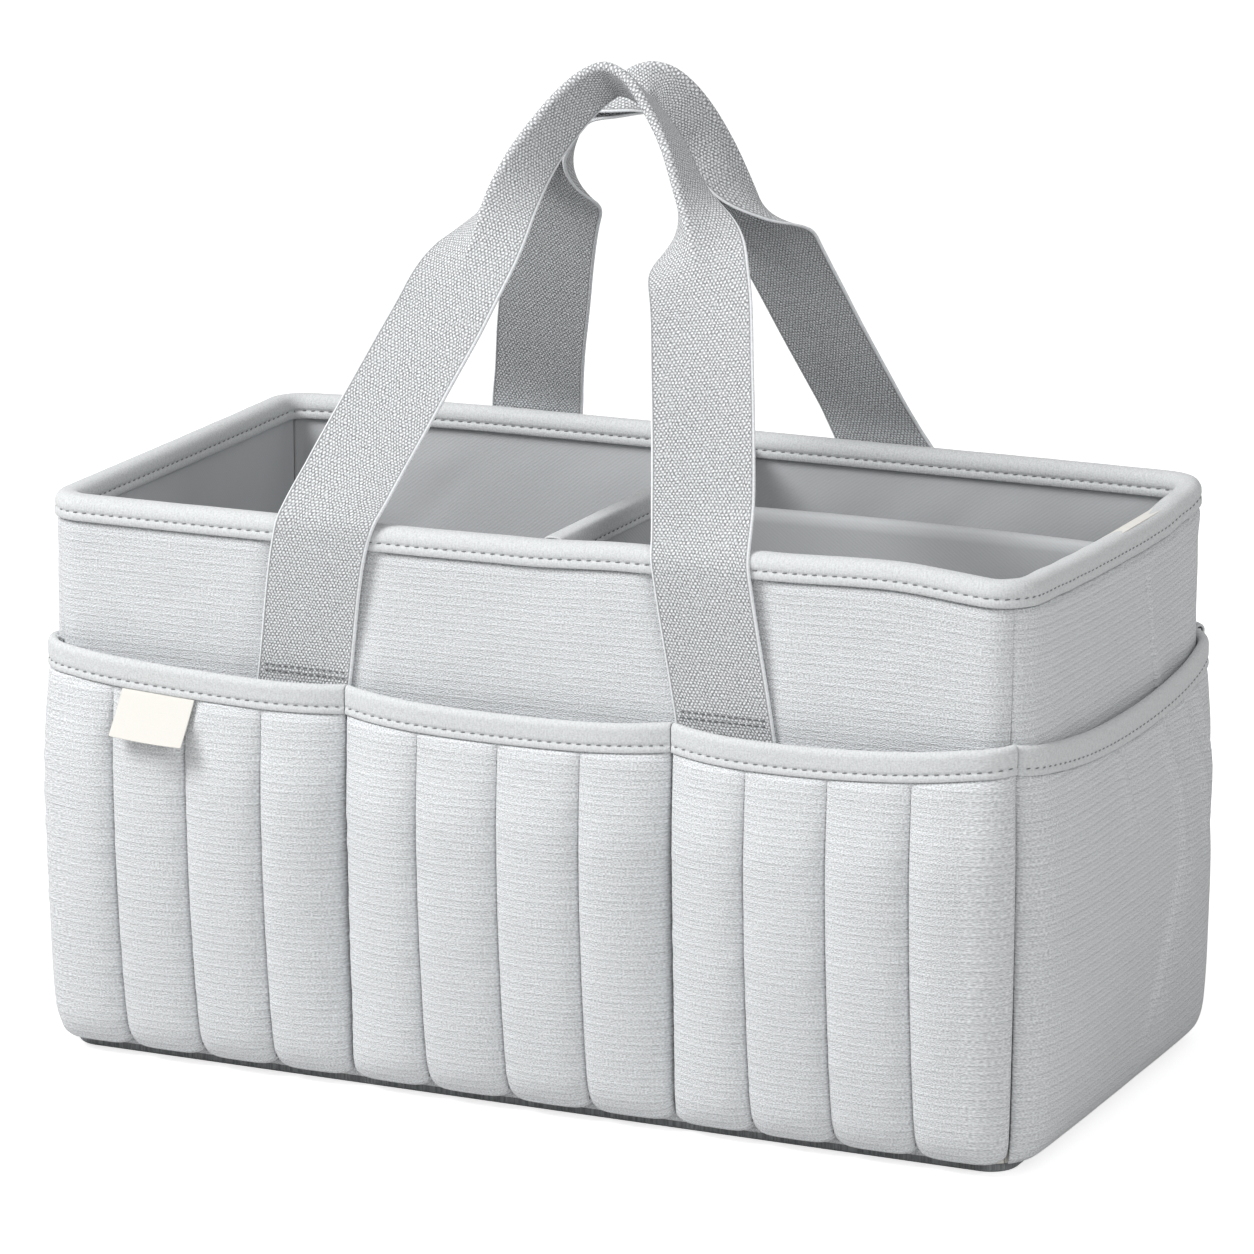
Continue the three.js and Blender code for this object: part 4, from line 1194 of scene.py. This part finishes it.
class Strap:
    """One handle's webbing, from tail to tail, in the front handle's own half of the caddy."""

    def __init__(self, body, straps, pockets, centre, unfolded, folded, leg_turns, rolling, rolled,
                 rolls, roll_span, route):
        self.body, self.sizes, self.centre = body, straps, centre
        self.unfolded, self.folded, self.rolling, self.rolled = unfolded, folded, rolling, rolled
        self.rolls, self.roll_span, self.leg_turns = rolls, roll_span, leg_turns
        self.pocket_height = pockets.height
        foot_height = pockets.height - straps.tail
        slope = straps.splay / (straps.hinge - pockets.height)
        foot_spread = straps.spread + slope * (straps.hinge - foot_height)
        loop = [Vector((centre + a * straps.spread, 0, lerp(straps.hinge, straps.top, r)))
                for a, r in route]
        self.points = ([Vector((centre - foot_spread, 0, foot_height))] + loop
                       + [Vector((centre + foot_spread, 0, foot_height))])

    def on_route(self, t):
        """A point of the centripetal curve through the route's points."""
        points = self.points
        place = clamp(t) * (len(points) - 1)
        k = min(int(place), len(points) - 2)
        w = place - k
        p1, p2 = points[k], points[k + 1]
        p0 = points[k - 1] if k > 0 else 2 * p1 - p2
        p3 = points[k + 2] if k + 2 < len(points) else 2 * p2 - p1
        d0, d1, d2 = ((b - a).length ** 0.5 for a, b in ((p0, p1), (p1, p2), (p2, p3)))
        m1 = ((p1 - p0) / d0 - (p2 - p0) / (d0 + d1) + (p2 - p1) / d1) * d1
        m2 = ((p2 - p1) / d1 - (p3 - p1) / (d1 + d2) + (p3 - p2) / d2) * d1
        c2, c3 = -3 * p1 + 3 * p2 - 2 * m1 - m2, 2 * p1 - 2 * p2 + m1 + m2
        return p1 + m1 * w + c2 * w ** 2 + c3 * w ** 3

    def distance(self, height):
        """How far the webbing's middle is from the caddy's middle plane."""
        body, sizes = self.body, self.sizes
        on_wall = body.seam_gap + sizes.thickness / 2
        on_rim = on_wall + body.seam_gap + body.rim_tape
        rising = smoothstep(height, self.pocket_height, body.height - body.tape_height)
        bend_start = body.height - body.rim_roll
        past = height - bend_start
        if past < sizes.bend:
            ramp = max(past, 0) ** 2 / 2 / sizes.bend
        else:
            ramp = past - sizes.bend / 2
        whole_ramp = sizes.top - bend_start - sizes.bend / 2
        whole_lean = body.width / 2 + on_rim - sizes.apex_inset
        return body.width / 2 + lerp(on_wall, on_rim, rising) - ramp * whole_lean / whole_ramp

    def middle(self, t):
        point = self.on_route(t)
        point.y = -self.distance(point.z)
        return point

    def station(self, t):
        """Where the webbing's middle is, which way it faces, and how far it is folded."""
        sizes, nudge = self.sizes, 1e-3
        point = self.middle(t)
        tangent = (self.middle(t + nudge) - self.middle(t - nudge)).normalized()
        lean = (self.distance(point.z - MM * nudge) - self.distance(point.z + MM * nudge)) / 2 / (MM * nudge)
        inward = Vector((0, 1, -lean)).normalized()
        square = tangent.cross(inward).normalized()
        level = Vector((math.copysign(1, square.x), 0, 0))
        across = level.lerp(square, smoothstep(point.z, sizes.hinge, sizes.hinge + sizes.width))
        across /= across.dot(square)

        spread = sizes.spread * GRIP_SPREAD_SHARE
        along_grip = clamp((point.x - self.centre + spread) / 2 / spread)

        def climbed(*limits):
            heights = [lerp(sizes.hinge, sizes.top, lerp(*shares, along_grip)) for shares in limits]
            return smoothstep(point.z, *heights)

        closing = climbed(self.unfolded, self.folded)
        turn_from = sizes.hinge + sizes.turn_start
        leg_turn = lerp(*self.leg_turns, along_grip)
        leg_turn *= smoothstep(point.z, turn_from, turn_from + sizes.turn_rise)
        grip_roll = lerp(*self.rolls, smoothstep(along_grip, *self.roll_span))
        roll = math.radians(lerp(leg_turn, grip_roll, climbed(self.rolling, self.rolled)))
        opened = lerp(QUARTER, FOLD_OPEN, closing)
        toward = inward * math.cos(roll) - across * math.sin(roll)
        beside = across * math.cos(roll) + inward * math.sin(roll)
        return SimpleNamespace(centre=point + inward * sizes.fold_radius, toward=toward,
                               beside=beside, opened=opened, middle=point)

    def place(self, station, aside, offset):
        """A point of the webbing at a distance from its middle line and from its middle layer."""
        fold = self.sizes.fold_radius
        radius = fold + offset
        arc = fold * (QUARTER - station.opened)
        away, hand = abs(aside), math.copysign(1, aside)
        if away < arc:
            angle = away / fold
            return (station.centre + station.beside * (hand * radius * math.sin(angle))
                    - station.toward * (radius * math.cos(angle)))
        reach = away - arc
        cos, sin = math.cos(station.opened), math.sin(station.opened)
        return (station.centre + station.beside * (hand * (radius * cos + reach * sin))
                + station.toward * (reach * cos - radius * sin))


def both_straps(scene):
    body, straps, pockets = (plain(scene.caddy_body), plain(scene.caddy_straps),
                             plain(scene.caddy_pockets))
    front = Strap(body, straps, pockets, GRIP_CENTRES["front"], unfolded=(0.48, 0.58), folded=(0.93, 0.8),
                  leg_turns=(0, 8), rolling=(0.48, 0.58), rolled=(0.93, 0.8), rolls=(42, -15),
                  roll_span=(0, 1), route=FRONT_ROUTE)
    back = Strap(body, straps, pockets, GRIP_CENTRES["back"], unfolded=(0.627, 0.542), folded=(0.84, 0.723),
                 leg_turns=(-4, 4), rolling=(0.627, 0.675), rolled=(0.84, 0.855), rolls=(0, 70),
                 roll_span=(0.38, 0.66), route=BACK_ROUTE)
    return front, back


class CADDY_OT_handles(bpy.types.Operator):
    """Make the two webbing handles and the stitches that hold their ends"""
    bl_idname = "caddy.handles"
    bl_label = "Handles"

    def execute(self, context):
        front, back = both_straps(context.scene)
        self.handle("front", front, 1)
        self.handle("back", back, -1)
        return {"FINISHED"}

    def handle(self, name, strap, hand_y):
        sizes = strap.sizes
        count = 420
        ts = steps(0, 1, count)
        stations = [strap.station(t) for t in ts]
        runs = [0.0]
        for a, b in zip(stations, stations[1:]):
            runs.append(runs[-1] + (b.middle - a.middle).length)
        half = sizes.width / 2
        near = [0, 0.1 * MM, 0.35 * MM, 0.8 * MM, 1.4 * MM]
        asides = ([-half + n for n in near] + steps(-half + 2 * MM, -2.6 * MM, 10)
                  + [-1.9 * MM, -1.3 * MM, -0.8 * MM, -0.4 * MM, 0, 0.4 * MM, 0.8 * MM, 1.3 * MM, 1.9 * MM]
                  + steps(2.6 * MM, half - 2 * MM, 10) + [half - n for n in reversed(near)])

        def place(i, j, hand):
            station, aside = stations[j], asides[i]
            edge = rounded(half - abs(aside), 0.8 * MM)
            edge *= within(runs[j], 0, runs[-1], 0.8 * MM)
            ridge = 0.12 * MM * smoothstep(abs(aside), half - 1.6 * MM, half - 1.0 * MM)
            offset = hand * edge * (sizes.thickness / 2 - 0.12 * MM + ridge)
            point = strap.place(station, aside, offset)
            point.y *= hand_y
            return point

        made = closed_skins(asides, runs, place)
        obj = piece(f"{name}_handle_webbing", made, "coarse webbing", None,
                    [f"{name}_handle", f"{name}_left_strap_leg", f"{name}_right_strap_leg"])
        hinge_y = -hand_y * strap.distance(sizes.hinge)
        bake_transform(obj)
        self.foot_stitches(name, strap, stations, hand_y)

    def foot_stitches(self, name, strap, stations, hand_y):
        sewn = bmesh.new()
        half = strap.sizes.width / 2 - 1.5 * MM
        for hand in (-1, 1):
            for height in (strap.pocket_height + 3.0 * MM, strap.pocket_height + 5.2 * MM):
                leg = stations[:40] if hand < 0 else stations[-40:]
                station = min(leg, key=lambda s: abs(s.middle.z - height))
                line = []
                for aside in steps(-half, half, 20):
                    here = strap.place(station, aside, strap.sizes.thickness / 2 + 0.02 * MM)
                    here.z = height
                    here.y *= hand_y
                    line.append((here, Vector((0, -hand_y, 0))))
                put_stitches(sewn, line, 2.6 * MM, 2.0 * MM, 0.7 * MM, slant=0.0)
        piece(f"{name}_handle_stitches", sewn, "spun thread painted with shade", "caddy")


class CADDY_OT_divider(bpy.types.Operator):
    """Make the divider's cloth covers, its bound top edge and the strips that hold it"""
    bl_idname = "caddy.divider"
    bl_label = "Divider"

    def execute(self, context):
        body, sizes = plain(context.scene.caddy_body), plain(context.scene.caddy_divider)
        thread = plain(context.scene.caddy_thread)
        half = body.width / 2 - body.wall - sizes.end_gap
        bottom = body.floor_level + sizes.floor_gap
        tape_top = body.height - sizes.top_gap
        cover_top = tape_top - 1.3 * MM
        cover = sizes.board / 2 + body.seam_gap + body.lining
        self.cover("cross_divider", "y", sizes.place, (-half, half), cover, bottom, cover_top, body)
        long_from = sizes.place + cover + body.seam_gap
        long_to = body.length / 2 - body.wall - sizes.end_gap
        long_top = tape_top - body.tape_height - body.seam_gap
        self.cover("long_divider", "x", sizes.long_place, (long_from, long_to), cover, bottom,
                   long_top, body)
        self.binding(sizes, body, half, tape_top, cover, thread)
        for side in ("front", "back", "side"):
            self.strip(f"{side}_loop_strip", "caddy")
            self.strip(f"{side}_hook_strip", "divider")
        return {"FINISHED"}

    def cover(self, name, axis, beside, ends, cover, bottom, top, body):
        tape = Tape(cover, -cover, bottom, top, cover * 0.9, body.lining * 0.8)
        places = edged_steps(*ends, 3 * MM)
        heights = [0, 0.2 * MM] + steps(0.6 * MM, tape.whole - 0.6 * MM, 120)
        heights += [tape.whole - 0.2 * MM, tape.whole]

        def place(i, j, hand):
            along, distance = places[i], heights[j]
            out, height = tape.bare(distance)
            x0, z0 = tape.bare(max(distance - 0.1 * MM, 0))
            x1, z1 = tape.bare(min(distance + 0.1 * MM, tape.whole))
            size = math.hypot(x1 - x0, z1 - z0)
            normal = ((z1 - z0) / size, -(x1 - x0) / size)
            edge = within(distance, 0, tape.whole, 0.5 * MM) * within(along, *ends, 0.5 * MM)
            deep = tape.thickness / 2 * (1 - hand * edge)
            end_in = smoothstep(min(along - ends[0], ends[1] - along), 0, 14 * MM)
            high = smoothstep(height, bottom, bottom + 25 * MM)
            side = 1 if distance < tape.whole / 2 else -1
            puff = (0.5 + 0.5 * waver(along, height * 0.6, 40 * MM, 60 + side + beside * 100)) * MM
            puff *= end_in * high * (1.0 if name == "long_divider" else 0.25)
            top_swell = 0.0
            if name == "long_divider":
                share = (along - ends[0]) / (ends[1] - ends[0])
                near_top = smoothstep(height, top - 12 * MM, top)
                top_swell = 1.4 * MM * near_top * (math.sin(share * math.pi) ** 0.6 - 0.5)
            outward = out - normal[0] * deep + normal[0] * puff
            level = height - normal[1] * deep + top_swell
            # The section's outward direction is +X for the cross panel and -Y for the long one
            if axis == "y":
                return Vector((beside + outward, along, level))
            return Vector((along, beside - outward, level))

        made = closed_skins(places, heights, place)
        obj = piece(f"{name}_cloth", made, "twill lining", "divider",
                    [f"{name}_cover"])

    def binding(self, sizes, body, half, tape_top, cover, thread):
        reach = cover + body.seam_gap + 1 * MM
        tape = Tape(reach, -reach, tape_top - body.tape_height, tape_top, 2 * MM, 1 * MM,
                    crown=0.2 * MM)
        places = edged_steps(-half, half, 2.6 * MM)
        levels = tape.levels()
        rows = [tape.at(d) for d in levels]

        def place(i, j, hand):
            full = within(places[i], -half, half, 0.5 * MM)
            out, height = tape.skin(rows[j], levels[j], hand, full)
            return Vector((sizes.place + out, places[i], height))

        made = closed_skins(places, levels, place)
        piece("divider_tape", made, "binding tape", "divider",
              ["cross_divider_binding"])
        sewn = bmesh.new()
        for distance, hand in ((tape.groove, 1), (tape.whole - tape.groove, -1)):
            (out, height), _ = tape.at(distance)
            line = [(Vector((sizes.place + out + hand * 0.1 * MM, along, height)), Vector((hand, 0, 0)))
                    for along in places[2:-2]]
            put_stitches(sewn, line, thread.pitch, thread.stitch, thread.thickness)
        piece("divider_stitches", sewn, "spun thread painted with shade", "divider")

    def strip(self, node, body):
        low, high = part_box(node)
        size = high - low
        thin = min(range(3), key=lambda axis: size[axis])
        wide = next(axis for axis in (0, 1) if axis != thin)
        us, vs = edged_steps(low[wide], high[wide], 1.5 * MM), edged_steps(low.z, high.z, 3 * MM)

        def place(i, j, hand):
            edge = within(us[i], low[wide], high[wide], 0.5 * MM) * within(vs[j], low.z, high.z, 0.5 * MM)
            point = Vector((0, 0, vs[j]))
            point[wide] = us[i]
            point[thin] = (low[thin] + high[thin]) / 2 + hand * edge * size[thin] / 2 * 0.96
            return point

        made = closed_skins(us, vs, place)
        piece(f"{node}_pile", made, "looped strip", body, [node])


class CADDY_OT_tab(bpy.types.Operator):
    """Make the blank tab under the left front pocket's tape"""
    bl_idname = "caddy.tab"
    bl_label = "Blank tab"

    def execute(self, context):
        sizes, body = plain(context.scene.caddy_tab), plain(context.scene.caddy_body)
        pocket = next(p for p in all_pockets(context.scene) if p.name == "front_left")
        share = sizes.share
        lip = pocket.mouth(share) - body.tape_height
        face = pocket.stand_off(share, lip) + pocket.seam + body.seam_gap + pocket.sizes.tape
        middle = pocket.along(share)
        half = sizes.width / 2
        us, vs = edged_steps(-half, half, 1.5 * MM), edged_steps(0, sizes.length, 1.2 * MM)
        line, out, height = [], face - 0.1 * MM, lip - 0.1 * MM
        for k, distance in enumerate(vs):
            if k:
                step = distance - vs[k - 1]
                angle = sizes.stand * lerp(0.95, 1.06, smoothstep(distance, 0, sizes.length))
                out, height = out + step * math.sin(angle), height - step * math.cos(angle)
            line.append((out, height))

        def place(i, j, hand):
            out, height = line[j]
            edge = rounded(half - abs(us[i]), 0.35 * MM)
            edge *= within(vs[j], 0, sizes.length, 0.45 * MM)
            curl = 0.5 * MM * (us[i] / half) ** 2 * vs[j] / sizes.length
            normal = Vector((0, -math.cos(sizes.stand), -math.sin(sizes.stand)))
            tilt = us[i] * -0.05
            base = Vector((middle + us[i], -body.width / 2 - out, height + tilt))
            return base + normal * (hand * edge * sizes.thickness / 2 - curl)

        made = closed_skins(us, [-v for v in vs], place)
        piece("blank_tab_cloth", made, "smooth tab", "blank_tab", ["blank_tab"])
        return {"FINISHED"}


class CADDY_OT_boards(bpy.types.Operator):
    """Give the boards inside the walls, base and divider their finish"""
    bl_idname = "caddy.boards"
    bl_label = "Boards"

    def execute(self, context):
        boards = [f"{side}_stiffener" for side in SIDE_TURNS]
        for name in boards + ["base_board", "cross_divider_board", "long_divider_board"]:
            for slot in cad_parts[name].material_slots:
                slot.material = bpy.data.materials["pressed board"]
        return {"FINISHED"}


def aim(place, target):
    """The turn that points a lamp or a camera from its place to a target."""
    return (Vector(target) - Vector(place)).to_track_quat("-Z", "Y").to_euler()


def area_lamp(name, place, target, size, power):
    lamp = bpy.data.lights.new(name, "AREA")
    lamp.shape, lamp.size, lamp.size_y = "RECTANGLE", size[0], size[1]
    lamp.energy = power
    holder = bpy.data.objects.new(name, lamp)
    holder.location, holder.rotation_euler = place, aim(place, target)
    bpy.context.scene.collection.objects.link(holder)


class CADDY_OT_stage(bpy.types.Operator):
    """Make the studio: floor, lamps, pale surroundings and the camera"""
    bl_idname = "caddy.stage"
    bl_label = "Stage"

    def execute(self, context):
        made = bmesh.new()
        put_grid(made, 2, 2, lambda i, j: Vector(((i - 1) * 12.0, (j - 1) * 12.0, 0)),
                 lambda i, j: (i, j))
        mesh = bpy.data.meshes.new("floor")
        made.to_mesh(mesh)
        made.free()
        mesh.materials.append(bpy.data.materials["studio paper"])
        floor = bpy.data.objects.new("floor", mesh)
        context.scene.collection.objects.link(floor)

        world = bpy.data.worlds.new("studio")
        context.scene.world = world
        world.use_nodes = True
        tree = world.node_tree
        tree.nodes.clear()
        strength = fit(tree, seen_directly(tree), 0.0, 1.0, SKY_LIGHT, 1.0)
        sky = add_node(tree, "ShaderNodeBackground", {"Color": (1, 1, 1, 1), "Strength": strength})
        add_node(tree, "ShaderNodeOutputWorld", {"Surface": sky.outputs[0]})

        for name, settings in LAMPS.items():
            area_lamp(name, *settings)

        yaw, pitch = CAMERA_YAW, CAMERA_PITCH
        back = Vector((math.sin(yaw) * math.cos(pitch), -math.cos(yaw) * math.cos(pitch), math.sin(pitch)))
        right = Vector((math.cos(yaw), math.sin(yaw), 0))
        up = back.cross(right)
        lens = bpy.data.cameras.new("camera")
        lens.lens, lens.sensor_width = FOCAL_PIXELS / PHOTO_PIXELS * SENSOR, SENSOR
        lens.clip_start, lens.clip_end = 0.1, 50
        camera = bpy.data.objects.new("camera", lens)
        turn = Matrix((right, up, back)).transposed()
        camera.matrix_world = Matrix.Translation(CAMERA_PLACE) @ turn.to_4x4()
        context.scene.collection.objects.link(camera)
        context.scene.camera = camera
        context.scene.view_settings.view_transform = "Standard"
        return {"FINISHED"}


class CADDY_PT_panel(bpy.types.Panel):
    """The steps that make the caddy, in order"""
    bl_idname = "CADDY_PT_panel"
    bl_label = "Diaper Caddy"
    bl_space_type = "VIEW_3D"
    bl_region_type = "UI"
    bl_category = "Caddy"

    def draw(self, context):
        for operator in OPERATORS:
            self.layout.operator(operator.bl_idname)


GROUPS = {
    "caddy_body": CaddyBody,
    "caddy_pockets": CaddyPockets,
    "caddy_straps": CaddyStraps,
    "caddy_divider": CaddyDivider,
    "caddy_tab": CaddyTab,
    "caddy_thread": CaddyThread,
    "caddy_colours": CaddyColours,
}
OPERATORS = [
    CADDY_OT_finishes, CADDY_OT_boards, CADDY_OT_base, CADDY_OT_walls, CADDY_OT_rim,
    CADDY_OT_pockets, CADDY_OT_pocket_bindings, CADDY_OT_handles, CADDY_OT_divider, CADDY_OT_tab,
    CADDY_OT_stage,
]


def register():
    for each in [*GROUPS.values(), *OPERATORS, CADDY_PT_panel]:
        bpy.utils.register_class(each)
    for name, group in GROUPS.items():
        setattr(bpy.types.Scene, name, PointerProperty(type=group))


def unregister():
    for name in GROUPS:
        delattr(bpy.types.Scene, name)
    for each in reversed([*GROUPS.values(), *OPERATORS, CADDY_PT_panel]):
        bpy.utils.unregister_class(each)


def main():
    register()
    for operator in OPERATORS:
        family, step = operator.bl_idname.split(".")
        getattr(getattr(bpy.ops, family), step)()


if __name__ == "__main__":
    main()
